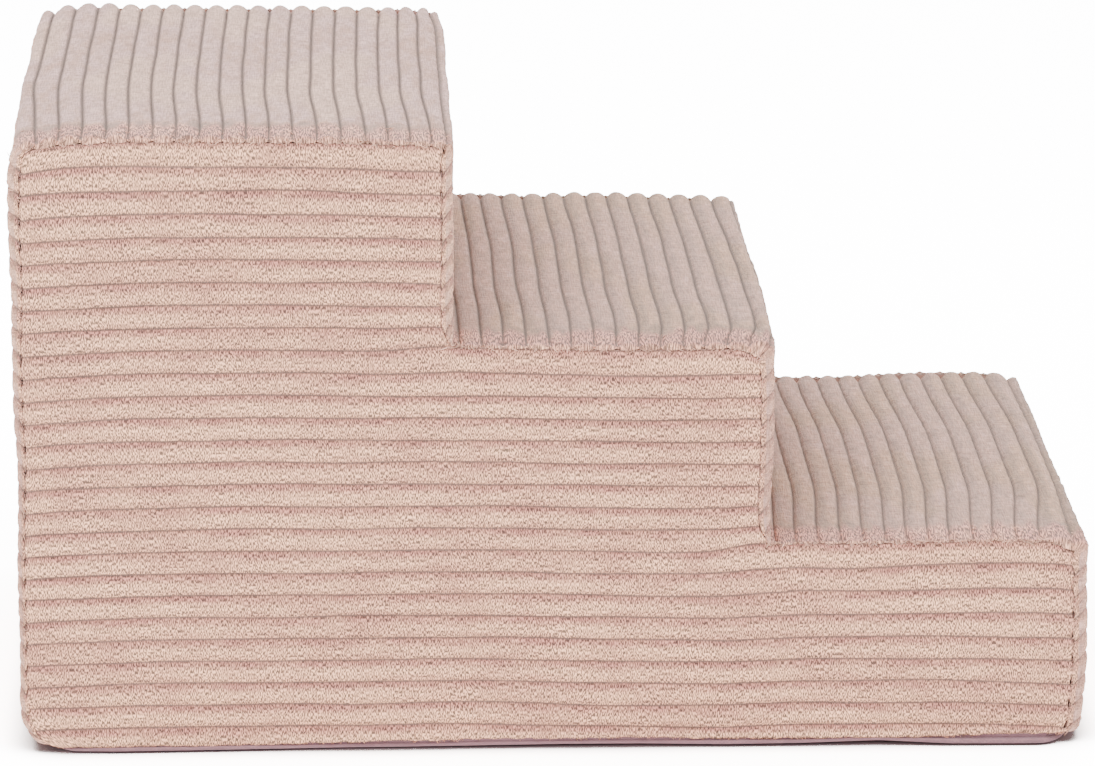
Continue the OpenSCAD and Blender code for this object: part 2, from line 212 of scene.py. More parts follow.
# Further lift of the grooves, in mm: a row for each height, over the places in x
LIFT_X = (-330, -300, -260, -200, -130, -80, -30, 40, 110, 160, 230, 290, 330)
LIFTS = {
    10: (-0.5, -1.0, -0.9, -0.7, -0.3, 1.0, 1.0, 0.0, -1.3, 0.9, 0.2, -0.3, -0.8),
    60: (-1.5, -1.7, -1.4, -0.9, -0.5, 0.5, 0.9, 0.1, -0.9, 0.5, 0.7, 0.2, -0.5),
    110: (-1.9, -1.9, -1.2, -1.0, -1.2, -0.1, 0.7, 0.0, -2.0, -0.3, 0.2, -1.0, -1.5),
    150: (-2.6, -2.4, -1.4, -1.2, -1.1, 0.0, 0.5, -0.4, -2.0, -1.1, 0, 0, 0),
    200: (-3.0, -2.7, -1.4, -0.8, -1.7, -0.8, 0.1, -1.1, -1.7, -0.5, 0, 0, 0),
    250: (-3.0, -2.5, -1.5, -1.1, -1.7, -1.5, -1.1, -1.4, -1.6, -1.4, 0, 0, 0),
    290: (-2.7, -2.1, -1.3, -1.2, -1.5, -1.0, 0, 0, 0, 0, 0, 0, 0),
    330: (-2.7, -2.1, -1.1, -1.0, -1.1, 0.1, 0, 0, 0, 0, 0, 0, 0),
    360: (-3.1, -3.0, -2.0, -2.5, -2.0, 0.0, 0, 0, 0, 0, 0, 0, 0),
    385: (-3.3, -3.8, -3.4, -3.6, -3.3, -0.3, 0, 0, 0, 0, 0, 0, 0),
}


def pulled(x, z):
    """How far a groove that would lie at z is pulled up, along x."""
    at_z = [np.interp(z / MM, list(LIFTS), column) for column in zip(*LIFTS.values())]
    lift = MM * np.interp(x / MM, LIFT_X, at_z) - 3.7 * MM * rise(-192, 93, x)
    for px, pz, rx, rz, up in PULLS:
        lift = lift + up * MM * np.exp(-((x / MM - px) / rx) ** 2 - ((z / MM - pz) / rz) ** 2)
    return lift


# ---------------------------------------------------------------- seams of the side panels

def tread_turn(step, x):
    """How far below a tread the seam lies along a long edge, with a droop at the nose."""
    droop = 4.6 * smooth(NOSES[step] - 24 * MM, NOSES[step] - 9 * MM, x)
    if step == 3:
        corner = 0.8 * (1 - rise(-300, -262, x)) + 1.2 * (1 - rise(-337, -322, x))
        up = 0.6 * rise(-230, -160, x) + 0.7 * rise(-160, -110, x)
        return (5.0 + corner - up + 0.4 * np.sin(x / (31 * MM)) + 0.35 * droop) * MM
    start = NOSES[step + 1]
    share = np.clip((x - start) / (NOSES[step] - start), 0, 1)
    if step == 2:
        return (1.5 + 2.4 * share + 1.9 * np.sin(share * math.pi) + 1.3 * droop) * MM
    up = 1.2 * (1 - smooth(0.08, 0.3, share)) + 1.2 * np.exp(-((x / MM - 284) / 22) ** 2)
    return (2.2 - up + 0.5 * np.sin(share * 9) + 1.3 * droop) * MM


def riser_turn(step, z):
    """How far behind a riser the seam lies on the side."""
    if step == 1:
        return (9.9 + 0.7 * rib_wave(z)) * MM
    share = np.clip((z - TOPS[step - 1]) / (TOPS[step] - TOPS[step - 1]), 0, 1)
    narrow, wide = 1.1, 8.0 if step == 3 else 8.8
    return (narrow + (wide - narrow) * (1 - np.exp(-share / 0.06))
            + 0.6 * rib_wave(z) * share) * MM


# How far in front of the back the seam lies on the side, by height, in mm
BACK_TURN = ((0, 4.8), (112, 4.7), (200, 5.8), (306, 7.3), (337, 8.0), (385, 9.0), (400, 9.0))


def back_turn(z):
    return read(BACK_TURN, z) + 0.5 * rib_wave(z, 1) * MM


# ---------------------------------------------------------------- meshes

def put_piece(name, mesh, finish, node=None):
    """Links a mesh as a smooth piece of the stairs, in place of a CAD node if one is named."""
    mesh.polygons.foreach_set("use_smooth", [True] * len(mesh.polygons))
    mesh.materials.append(finish)
    mesh.update()
    piece = bpy.data.objects.new(name, mesh)
    bpy.context.scene.collection.objects.link(piece)
    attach(piece, "stairs")
    if node:
        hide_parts(node)
    return piece


def solid_mesh(name, points, faces, finish, layers, node=None):
    """A piece from points and faces, with layers of values for its finish to read."""
    mesh = bpy.data.meshes.new(name)
    mesh.from_pydata(np.asarray(points, float).reshape(-1, 3).tolist(), [], faces)
    for layer, values in layers.items():
        values = np.asarray(values, np.float32)
        kind, key = ("FLOAT_VECTOR", "vector") if values.ndim == 2 else ("FLOAT", "value")
        mesh.attributes.new(layer, kind, "POINT").data.foreach_set(key, values.ravel())
    return put_piece(name, mesh, finish, node)


def grid_quads(index, keep=True, flip=False):
    """Quads over a grid of point numbers, without the cells that aren't kept."""
    quads = np.stack([index[:-1, :-1], index[:-1, 1:], index[1:, 1:], index[1:, :-1]], -1)
    return quads[np.broadcast_to(keep, quads.shape[:2])][:, ::-1 if flip else 1].tolist()


def ring_faces(rings, sides, count=1):
    """Faces of closed strands: quads round their rings of points, and a cap at each end."""
    number = np.arange(count * rings * sides).reshape(count, rings, sides)
    after = np.roll(number, -1, axis=2)
    quads = np.stack([number[:, :-1], after[:, :-1], after[:, 1:], number[:, 1:]], -1)
    return quads.reshape(-1, 4).tolist() + number[:, 0, ::-1].tolist() + number[:, -1].tolist()


def used_only(points, faces, layers):
    """Leaves out the points that no face uses."""
    used = np.zeros(len(points), bool)
    for face in faces:
        used[face] = True
    number = np.cumsum(used) - 1
    faces = [number[face].tolist() for face in faces]
    return points[used], faces, {key: value[used] for key, value in layers.items()}


# ---------------------------------------------------------------- finishes

class Nodes:
    """The node tree of a finish or group, with short ways to add to it."""

    def __init__(self, tree):
        self.tree = tree

    def put(self, socket, value):
        """Links a socket, or sets it when the value is a number, a vector or a colour."""
        if isinstance(value, bpy.types.NodeSocket):
            self.tree.links.new(value, socket)
        else:
            opaque = socket.type == "RGBA" and len(value) == 3
            socket.default_value = (*value, 1) if opaque else value

    def add(self, kind, **values):
        """A node: names with a capital are its inputs, the others its settings."""
        node = self.tree.nodes.new("ShaderNode" + kind)
        for key, value in values.items():
            if key[0].isupper():
                self.put(node.inputs[key.replace("_", " ")], value)
            else:
                setattr(node, key, value)
        return node

    def numbered(self, node, numbers, values):
        for number, value in zip(numbers, values):
            self.put(node.inputs[number], value)
        return node

    def math(self, operation, *values, clamp=False):
        node = self.add("Math", operation=operation, use_clamp=clamp)
        return self.numbered(node, (0, 1, 2), values).outputs[0]

    def times(self, a, b):
        return self.math("MULTIPLY", a, b)

    def plus(self, a, b, clamp=False):
        return self.math("ADD", a, b, clamp=clamp)

    def mix(self, share, a, b, blend="MIX"):
        """A mix of two colours."""
        node = self.add("Mix", data_type="RGBA", blend_type=blend)
        return self.numbered(node, (0, 6, 7), (share, a, b)).outputs[2]

    def mix_value(self, share, a, b):
        return self.numbered(self.add("Mix"), (0, 2, 3), (share, a, b)).outputs[0]

    def noise(self, vector, scale, detail=2.0, rough=0.5):
        """Noise with one scale, or one for each axis of the cloth."""
        if isinstance(scale, tuple):
            node = self.add("VectorMath", operation="MULTIPLY")
            vector, scale = self.numbered(node, (0, 1), (vector, scale)).outputs[0], 1
        return self.add("TexNoise", Vector=vector, Scale=scale, Detail=detail,
                        Roughness=rough).outputs["Fac"]

    def level(self, value, low, high, to_low=0.0, to_high=1.0):
        return self.add("MapRange", interpolation_type="SMOOTHSTEP", Value=value, From_Min=low,
                        From_Max=high, To_Min=to_low, To_Max=to_high).outputs["Result"]

    def layer(self, name, output="Fac"):
        return self.add("Attribute", attribute_name=name).outputs[output]

    def place(self):
        return self.add("TexCoord").outputs["Object"]

    def group(self, tree, **values):
        return self.add("Group", node_tree=tree, **values).outputs

    def shade(self, **values):
        """Sets or links the shader's own sockets."""
        for key, value in values.items():
            self.put(self.tree.nodes["Principled BSDF"].inputs[key.replace("_", " ")], value)

    def bump(self, height, strength, distance):
        node = self.add("Bump", Height=height, Strength=strength, Distance=distance)
        self.shade(Normal=node.outputs[0])


def new_finish(name):
    finish = bpy.data.materials.new(name)
    finish.use_nodes = True
    return finish, Nodes(finish.node_tree)


def new_group(name, inputs, outputs):
    """A node group that takes the cloth's vector and some values, and gives values."""
    tree = bpy.data.node_groups.new(name, "ShaderNodeTree")
    for label in inputs:
        kind = "NodeSocketVector" if label == "Cloth" else "NodeSocketFloat"
        tree.interface.new_socket(label, in_out="INPUT", socket_type=kind)
    for label in outputs:
        tree.interface.new_socket(label, in_out="OUTPUT", socket_type="NodeSocketFloat")
    nodes = Nodes(tree)
    given, out = tree.nodes.new("NodeGroupInput"), tree.nodes.new("NodeGroupOutput")
    return tree, nodes, given.outputs, out.inputs


def pile_group():
    """Short pile: upright tufts across the rib, or the fine cross lines of pressed pile."""
    tree, nodes, given, out = new_group(
        "cut pile", ("Cloth", "Flat", "Brushed"), ("Tufts", "Patches", "Broad", "Pits"))
    cloth = given["Cloth"]

    def band(size, detail, rough, low, high):
        return nodes.level(nodes.noise(cloth, (*size, 1), detail, rough), low, high)
    stretch = nodes.add("VectorMath", operation="MULTIPLY")
    nodes.numbered(stretch, (0, 1), (cloth, (1050, 400, 1)))
    cells = nodes.add("TexVoronoi", Vector=stretch.outputs[0], Scale=1.0)
    tuft = nodes.level(cells.outputs["Distance"], 0.25, 0.62, 1, 0)
    strand = band((1850, 480), 0.0, 0.5, 0.41, 0.59)
    upright = nodes.plus(nodes.times(tuft, 0.15), nodes.times(strand, 0.85))
    across = band((560, 130), 2.0, 0.6, 0.35, 0.65)
    along = band((90, 1300), 1.0, 0.6, 0.35, 0.65)
    pressed = nodes.plus(nodes.times(across, 0.5), nodes.times(along, 0.5))
    brushed = band((180, 1300), 0.0, 0.5, 0.41, 0.59)
    tufts = nodes.mix_value(given["Flat"], upright, pressed)
    tufts = nodes.mix_value(given["Brushed"], tufts, brushed)
    small = band((38, 120), 3.0, 0.6, 0.3, 0.7)
    broad = band((8, 17), 2.0, 0.5, 0.3, 0.7)
    nodes.put(out["Tufts"], tufts)
    nodes.put(out["Patches"], nodes.plus(nodes.times(small, 0.7), nodes.times(broad, 0.3)))
    nodes.put(out["Broad"], broad)
    nodes.put(out["Pits"], band((1150, 700), 1.0, 0.5, 0.66, 0.78))
    return tree


def weave_group():
    """Woven cloth: warp and weft lines with slubs."""
    tree, nodes, given, out = new_group("weave", ("Cloth", "Warp", "Weft"), ("Threads",))
    parts = nodes.add("SeparateXYZ", Vector=given["Cloth"]).outputs
    warp = nodes.math("SINE", nodes.times(parts[0], given["Warp"]))
    weft = nodes.math("SINE", nodes.times(parts[1], given["Weft"]))
    lines = nodes.plus(nodes.times(weft, 0.3), nodes.times(nodes.times(warp, weft), 0.3))
    slubs = nodes.noise(given["Cloth"], (160, 1400, 1), 2.0, 0.6)
    nodes.put(out["Threads"], nodes.plus(nodes.times(lines, 0.5), slubs))
    return tree


PILE_GROUP = pile_group()
WEAVE_GROUP = weave_group()

# Colours of pressed pile, from where it leans away from the light to where it faces it
PRESSED_TONES = ((0.0, (0.262, 0.163, 0.132)), (1.0, (0.555, 0.350, 0.325)),
                 (0.22, (0.333, 0.203, 0.163)), (0.42, (0.394, 0.228, 0.174)),
                 (0.70, (0.466, 0.288, 0.262)))


def plush_finish():
    finish, nodes = new_finish("plush corduroy")
    depth, nap_and_shade, flat, seam, brushed = (
        nodes.layer(name) for name in ("groove", "nap_and_shade", "flat", "seam", "brushed"))
    pile = nodes.group(PILE_GROUP, Cloth=nodes.layer("cloth", "Vector"), Flat=flat,
                       Brushed=brushed)
    # Creamy where the nap stands towards the light, pinker where it leans away: the nap's own tone,
    # with painted highlight and painted shade over the ribs
    nap_and_shade = nodes.times(nap_and_shade, nodes.plus(pile["Broad"], 0.5))
    patches = nodes.times(nodes.math("SUBTRACT", pile["Patches"], 0.5),
                          nodes.math("MULTIPLY_ADD", flat, -0.18, 0.6))
    nap_tone_and_shade = nodes.plus(nap_and_shade, nodes.plus(patches, 0.5), clamp=True)
    upright = nodes.mix(nap_tone_and_shade, (0.476, 0.2055, 0.164), (0.915, 0.505, 0.319))
    ramp = nodes.add("ValToRGB", Fac=nap_tone_and_shade)
    stops = ramp.color_ramp.elements
    for number, (place, tone) in enumerate(PRESSED_TONES):
        stop = stops[number] if number < len(stops) else stops.new(place)
        stop.position, stop.color = place, (*tone, 1)
    pressed = ramp.outputs["Color"]
    beige = nodes.mix(1.0, pressed, (0.99, 1.0, 0.86), "MULTIPLY")
    pressed = nodes.mix(nodes.level(pile["Broad"], 0.35, 0.8), pressed, beige)
    # Greyer tones where the pile is pressed: partly its pressed nap, partly painted sheen of cloth
    # seen at a grazing angle
    colour = nodes.mix(flat, upright, pressed)
    gaps = nodes.mix(flat, (0.165, 0.185, 0.195), (0.54, 0.52, 0.51))
    tips = nodes.mix(flat, (1.44, 1.36, 1.31), (1.31, 1.30, 1.29))
    colour = nodes.mix(1.0, colour, nodes.mix(pile["Tufts"], gaps, tips), "MULTIPLY")
    # Painted shade in the grooves, strongest at their bottoms
    shade = nodes.mix_value(flat, nodes.level(depth, 0.85, 0.99, 0, 0.88),
                            nodes.level(depth, 0.72, 0.97, 0, 0.88))
    colour = nodes.mix(shade, colour, nodes.mix(flat, (0.18, 0.11, 0.09), (0.133, 0.094, 0.078)))
    # Painted shade in the crease beside a seam
    colour = nodes.mix(nodes.level(seam, 0.66, 1.0, 0, 0.5), colour, (0.24, 0.12, 0.09))
    # A seam value above 1 is a painted shadow in a pit, where a groove runs into the seam
    colour = nodes.mix(nodes.level(seam, 1.15, 1.8, 0, 0.66), colour, (0.09, 0.05, 0.04))
    colour = nodes.mix(nodes.times(pile["Pits"], 0.2), colour, (0.22, 0.11, 0.08))
    nodes.shade(Base_Color=colour, Roughness=0.95, Sheen_Weight=0.2, Sheen_Roughness=0.6,
                Sheen_Tint=(1.0, 0.88, 0.82), Specular_IOR_Level=0.12)
    nodes.bump(pile["Tufts"], 0.6, 0.0012)
    return finish


def woven_finish(name, low, high, warp, weft, roughness=0.85, sheen=0.15):
    finish, nodes = new_finish(name)
    cloth = nodes.layer("cloth", "Vector")
    threads = nodes.group(WEAVE_GROUP, Cloth=cloth, Warp=warp, Weft=weft)["Threads"]
    worn = nodes.level(nodes.noise(cloth, (40, 40, 40), 3.0, 0.6), 0.5, 0.75)
    worn_tone = tuple(0.5 * (a + b) * 1.12 for a, b in zip(low, high))
    colour = nodes.mix(nodes.level(threads, 0.25, 0.75), low, high)
    colour = nodes.mix(nodes.times(worn, 0.25), colour, worn_tone)
    nodes.shade(Base_Color=colour, Roughness=roughness, Sheen_Weight=sheen)
    nodes.bump(threads, 0.5, 0.0004)
    return finish


def foam_finish():
    finish, nodes = new_finish("open foam")
    place = nodes.place()
    cells = nodes.add("TexVoronoi", Vector=place, Scale=650.0)
    pores = nodes.level(cells.outputs["Distance"], 0.15, 0.6)
    broad = nodes.level(nodes.noise(place, 14, 3.0, 0.6), 0.4, 0.7, 0.0, 0.3)
    colour = nodes.mix(pores, (0.52, 0.47, 0.34), (0.86, 0.82, 0.70))
    nodes.shade(Base_Color=nodes.mix(broad, colour, (0.80, 0.70, 0.48)), Roughness=0.95)
    nodes.bump(pores, 0.6, 0.0006)
    return finish


def rubber_finish():
    finish, nodes = new_finish("silicone dots")
    place = nodes.place()
    cloudy = nodes.noise(place, 260, 3.0, 0.6)
    dusty = nodes.level(nodes.noise(place, 30, 3.0, 0.6), 0.45, 0.7, 0, 0.4)
    colour = nodes.mix(cloudy, (0.52, 0.47, 0.48), (0.70, 0.66, 0.67))
    nodes.shade(Base_Color=nodes.mix(dusty, colour, (0.44, 0.40, 0.40)),
                Roughness=nodes.level(cloudy, 0.3, 0.7, 0.35, 0.55))
    nodes.bump(cloudy, 0.2, 0.0002)
    return finish


def metal_finish():
    finish, nodes = new_finish("painted zip metal")
    place = nodes.place()
    grain = nodes.noise(place, (300, 2600, 2600), 3.0, 0.6)
    wear = nodes.level(nodes.noise(place, 420, 4.0, 0.7), 0.58, 0.68)
    colour = nodes.mix(grain, (0.36, 0.25, 0.28), (0.47, 0.34, 0.37))
    nodes.shade(Base_Color=nodes.mix(wear, colour, (0.62, 0.58, 0.56)),
                Metallic=nodes.level(wear, 0, 1, 0.25, 0.9),
                Roughness=nodes.level(grain, 0.3, 0.7, 0.3, 0.45))
    nodes.bump(grain, 0.15, 0.0002)
    return finish


PLUSH = plush_finish()
BASE_WEAVE = woven_finish("mauve base cloth", (0.167, 0.082, 0.097), (0.255, 0.128, 0.146),
                          2600, 5200)
TAPE_WEAVE = woven_finish("mauve zip tape", (0.30, 0.17, 0.205), (0.47, 0.30, 0.34), 7000, 4200)
THREAD = woven_finish("seam thread", (0.20, 0.10, 0.08), (0.36, 0.20, 0.16), 9000, 3000)
COIL = woven_finish("zip coil", (0.28, 0.16, 0.19), (0.44, 0.28, 0.32), 9000, 9000, 0.5, 0.0)
FOAM, RUBBER, METAL = foam_finish(), rubber_finish(), metal_finish()


# ---------------------------------------------------------------- ribs over a row of lines

def rib_lines(keys, first_share, last_share):
    """Rows between the key lines, and each row's place within its rib.

    The key lines are arrays over the columns: a seam, the grooves in order, and a seam.
    The first and last ribs may be cut by their seam."""
    rows, shares = [], []
    for number, (low, high) in enumerate(zip(keys[:-1], keys[1:])):
        start = first_share if number == 0 else 0.0
        end = last_share if number == len(keys) - 2 else 1.0
        rows += [low + (high - low) * share for share in RIB_SHARES]
        shares += list(start + (end - start) * RIB_SHARES)
    return np.array(rows + [keys[-1]]), np.array(shares + [last_share])


def rib_depth(share, sharpness, depth):
    """Depth below the crest at a place within the rib."""
    return depth * np.abs(2 * share - 1) ** sharpness


def rib_nap_and_shade(share):
    """Lean of the pile up a rib, from its lower groove, with painted shade: palest just under the
    middle, darker under the groove above where the rib above overhangs.
    """
    return (0.08 + 0.34 * np.exp(-((share - 0.42) / 0.2) ** 2)
            + 0.20 * (1 - smooth(0.05, 0.35, share)) - 0.46 * smooth(0.56, 0.88, share))


# ---------------------------------------------------------------- side panels

def stations(keys, step):
    """Places between key places, closer together on both sides of each, and the keys' numbers."""
    places, numbers = [keys[0]], [0]
    for low, high in zip(keys[:-1], keys[1:]):
        inner_low, inner_high = low + ROLL_PLACES[-1], high - ROLL_PLACES[-1]
        count = max(2, int(round((inner_high - inner_low) / step)))
        places += list(low + ROLL_PLACES[1:])
        places += list(np.linspace(inner_low, inner_high, count + 1)[1:-1])
        places += list(high - ROLL_PLACES[:0:-1]) + [high]
        numbers.append(len(places) - 1)
    return np.array(places), numbers


def side_panel(name, node, side, seed, foot):
    """A side panel: one sheet with horizontal ribs, cut to the outline of the three steps."""
    key_x = [BACK + 7.5 * MM, -64.9 * MM, 136.9 * MM, 330.1 * MM]
    nominal, (_, c3, c2, c1) = stations(key_x, 3.4 * MM)
    wander, jitter = Unevenness(seed, 85 * MM), Unevenness(seed + 1, 9 * MM)

    def groove(number, x):
        z = LOWEST_GROOVE + number * PITCH
        calm = 0.4 if number in RIBS_BELOW.values() else 1.0
        uneven = 0.24 * wander(x, number * 1.7) + 0.08 * jitter(x, number * 3.1)
        return z + pulled(x, z) + calm * MM * uneven

    # The columns lean with the seams beside the risers
    level_z = [foot] + [LOWEST_GROOVE + k * PITCH for k in range(1, RIBS)] + [TOP_SEAM]
    base_z = rib_lines(level_z, 0, 1)[0]
    seam_x = np.stack([BACK + back_turn(base_z),
                       NOSES[3] - riser_turn(3, np.maximum(base_z, TOPS[2])),
                       NOSES[2] - riser_turn(2, np.maximum(base_z, TOPS[1])),
                       FRONT - riser_turn(1, base_z)], 1)
    x = np.array([np.interp(nominal, key_x, row) for row in seam_x])

    x_key = x[::PER_RIB]
    ragged = 0.25 * jitter(x_key[0] * 1.3, 4.0) + 0.15 * wander(x_key[0] * 3, 1.0)
    hem = read(NEAR_HEM, x_key[0]) if side < 0 else foot
    keys = [hem + ragged * MM] + [groove(k, x_key[k]) for k in range(1, RIBS)]
    keys.append(TOPS[3] - tread_turn(3, x_key[RIBS]))
    keys[1] = np.maximum(keys[1], keys[0] + 2 * MM)
    # On the two lower steps the seam takes a groove's place
    for step, number in RIBS_BELOW.items():
        seam = TOPS[step] - tread_turn(step, x_key[number])
        above = NOSES[step + 1]
        share = smooth(above - 40 * MM, above - 3 * MM, x_key[number])
        keys[number] = keys[number] * (1 - share) + seam * share
    z, share = rib_lines(keys, (foot - LOWEST_GROOVE) / PITCH,
                         (TOP_SEAM - LOWEST_GROOVE) / PITCH - RIBS + 1)
    share = np.repeat(share[:, None], x.shape[1], 1)
    r2, r1 = (number * PER_RIB for number in RIBS_BELOW.values())

    # Distance to each edge of the stairs' outline
    def beyond(column, row):
        return np.hypot(np.maximum(x[:, [column]] - x, 0), np.maximum(z[row] - z, 0))
    edges = [x - x[:, :1], z[-1] - z, beyond(c3, r2), beyond(c2, r1),
             np.maximum(x[:, [c1]] - x, 0)]
    closeness = sum(np.clip(1 - edge / SEAM_ROLL, 0, 1) ** 2 for edge in edges)
    distance = SEAM_ROLL * (1 - np.minimum(np.sqrt(closeness), 1))
    nearest = np.minimum.reduce(edges)

    swell = Unevenness(seed + 2, 120 * MM)(x, z) * 0.5 * MM
    lumps = Unevenness(seed + 3, 16 * MM, 12)(x, z * 2) * 0.16 * MM
    sharp = 3.0 + 0.5 * Unevenness(seed + 4, 70 * MM)(x, z)
    held = 0.45 + 0.55 * rise(0, 6, nearest)
    depth = rib_depth(share, np.maximum(sharp, 2.2), GROOVE * 0.8 * held)
    rolled = roll_depth(distance, SEAM_ROLL) + roll_depth(z - z[:1], 2.4 * MM)
    y = SIDE - depth - rolled + swell * np.clip(nearest / (25 * MM), 0, 1) + lumps
    y = side * np.minimum(y, SIDE + 0.9 * MM)
    shown_x, shown_z = settle(x, y, z)
    points = np.stack([shown_x, y, shown_z], -1).reshape(-1, 3)

    index = np.arange(x.size).reshape(x.shape)
    row, column = np.indices((x.shape[0] - 1, x.shape[1] - 1))
    keep = (column < c3) | ((column < c2) & (row < r2)) | ((column < c1) & (row < r1))
    faces = grid_quads(index, keep, flip=side > 0)
    # A wall along the border and a flat back make a closed pad
    border = np.concatenate([index[0, :c1 + 1], index[1:r1 + 1, c1], index[r1, c2:c1][::-1],
                             index[r1 + 1:r2 + 1, c2], index[r2, c3:c2][::-1],
                             index[r2 + 1:, c3], index[-1, :c3][::-1], index[1:-1, 0][::-1]])
    inner = points[border].copy()
    inner[:, 1] = side * (SIDE - PAD)
    back = np.arange(len(points), len(points) + len(border))
    walls = np.stack([border, back, np.roll(back, -1), np.roll(border, -1)], 1)
    faces += walls[:, ::side * -1].tolist() + [back[::side].tolist()]
    points = np.concatenate([points, inner])

    def layer(values, inner_value):
        return np.concatenate([values.ravel(), np.full(len(border), inner_value)])
    along = Unevenness(seed + 5, 40 * MM)(x, z) * 1.2 * MM
    in_groove = np.abs(2 * share - 1)
    # A painted shadow in the pit where a groove runs into the seam
    painted_pit_shadows = 0.9 * smooth(0.9, 1, in_groove) * (1 - rise(0.8, 2.4, nearest))
    layers = {
        "cloth": np.concatenate([np.stack([x + along, z, 0 * x], -1).reshape(-1, 3), inner]),
        "groove": layer(in_groove, 1.0),
        # The ribs' tone: the pile's nap, with painted shade under each groove
        "nap_and_shade": layer(rib_nap_and_shade(share), 0.0),
        "flat": layer(0 * x, 0.0),
        "seam": layer(np.exp(-np.maximum(nearest, 0) / SEAM_SHADE) + painted_pit_shadows, 1.0),
    }
    hem_points = points[index[0, :c1 + 1]]
    points, faces, layers = used_only(points, faces, layers)
    return solid_mesh(name, points, faces, PLUSH, layers, node), hem_points


# ---------------------------------------------------------------- covers of the steps and the back

class Path:
    """The course of a cover in X and Z, of straight runs and quarter turns."""

    def __init__(self, runs):
        self.runs = runs
        self.starts = np.concatenate([[0], np.cumsum([run[0] for run in runs])])
        self.length = self.starts[-1]

    def __call__(self, s):
        """Places, normals, and 1 where the path turns."""
        x, z, nx, nz, bend = (np.zeros_like(s) for _ in range(5))
        for number, (length, kind, data) in enumerate(self.runs):
            low, high = self.starts[number], self.starts[number + 1]
            here = (s >= low) & (s <= high)
            if number == 0:
                here |= s < low
            if number == len(self.runs) - 1:
                here |= s > high
            t = s[here] - low
            if kind == "line":
                (x0, z0), (dx, dz) = data
                x[here], z[here] = x0 + dx * t, z0 + dz * t
                nx[here], nz[here] = -dz, dx
            else:
                (cx, cz), radius, angle = data
                a = angle - t / radius
                nx[here], nz[here] = np.cos(a), np.sin(a)
                x[here], z[here] = cx + radius * nx[here], cz + radius * nz[here]
                bend[here] = 1
        return x, z, nx, nz, bend


def step_path(step):
    """From the back of a tread, over its nose, down to the foot of its riser."""
    top, nose = TOPS[step], NOSES[step]
    runs = []
    if step == 3:
        r, straight = 5 * MM, 3 * MM
        runs.append((straight, "line", ((BACK, top - r - straight), (0, 1))))
        runs.append((r * math.pi / 2, "turn", ((BACK + r, top - r), r, math.pi)))
        start = BACK + r
    else:
        start = NOSES[step + 1] - TREAD_TUCK
    runs.append((nose - NOSE_RADIUS - start, "line", ((start, top), (1, 0))))
    runs.append((NOSE_RADIUS * math.pi / 2, "turn",
                 ((nose - NOSE_RADIUS, top - NOSE_RADIUS), NOSE_RADIUS, math.pi / 2)))
    foot = FRONT_FOOT if step == 1 else TOPS[step - 1] - 1.2 * MM
    runs.append((top - NOSE_RADIUS - foot, "line", ((nose, top - NOSE_RADIUS), (0, -1))))
    return Path(runs)


# The first groove of each tread, the distance between grooves and their number, and how far
# each groove lies from its even place, in mm
TREAD_GROOVES = {3: (-331.6, 14.66, 18), 2: (-61.6, 14.53, 14), 1: (147.4, 14.46, 13)}
GROOVE_SHIFTS = {
    3: (0.8, 1.65, 2.2, 2.5, 2.3, 2.6, 2.3, 2.3, 2.5, 2.3, 2.1, 2.3, 2.5, 3.0, 3.2, 3.2, 1.9, 0),
    2: (0, -0.5, -1.2, -1.3, -1.3, -1.3, -1.5, -1.5, -1.2, -1.0, -1.0, -1.0, -2.0, -2.4),
    1: (0, -1.1, -0.9, -0.9, -1.1, -0.7, -0.9, -0.7, -0.9, -0.5, -0.9, -0.5, 0.5),
}
FIRST_RISER_GROOVE = {3: 385.5, 2: 250.5, 1: 119.6}


def groove_places(step, path):
    """Distance along a step's path of each groove."""
    lead = path.starts[2] if step == 3 else 0.0
    x0 = BACK + 5 * MM if step == 3 else NOSES[step + 1] - TREAD_TUCK
    first, pitch, count = TREAD_GROOVES[step]
    places = [lead + (first + pitch * k + GROOVE_SHIFTS[step][k]) * MM - x0
              for k in range(count)]
    places.append(max(path.starts[-3] + NOSE_RADIUS * math.radians(30),
                      places[-1] + 0.8 * PITCH))
    z = FIRST_RISER_GROOVE[step] * MM
    foot = TOPS[step - 1] if step > 1 else 6 * MM
    while z > foot + 3 * MM:
        places.append(path.starts[-2] + TOPS[step] - NOSE_RADIUS - z)
        z -= PITCH
    return places


def across_columns(step_y):
    """Columns across a cover: roll into the near seam, lip, edge, face, and the same again."""
    half = [("inner", 0.0)]
    half += [("roll", a) for a in (90, 66, 44, 22, 0)]
    half += [("lip", t) for t in (0.25, 0.5, 0.75)]
    half += [("edge", a) for a in (90, 75, 60, 45, 30, 15)]
    count = int(round(2 * (SIDE - 5 * MM) / step_y))
    flat = [("face", u) for u in np.linspace(-1, 1, count + 1)]
    return ([(kind, t, -1) for kind, t in half] + [(kind, t, 0) for kind, t in flat]
            + [(kind, t, 1) for kind, t in reversed(half)])


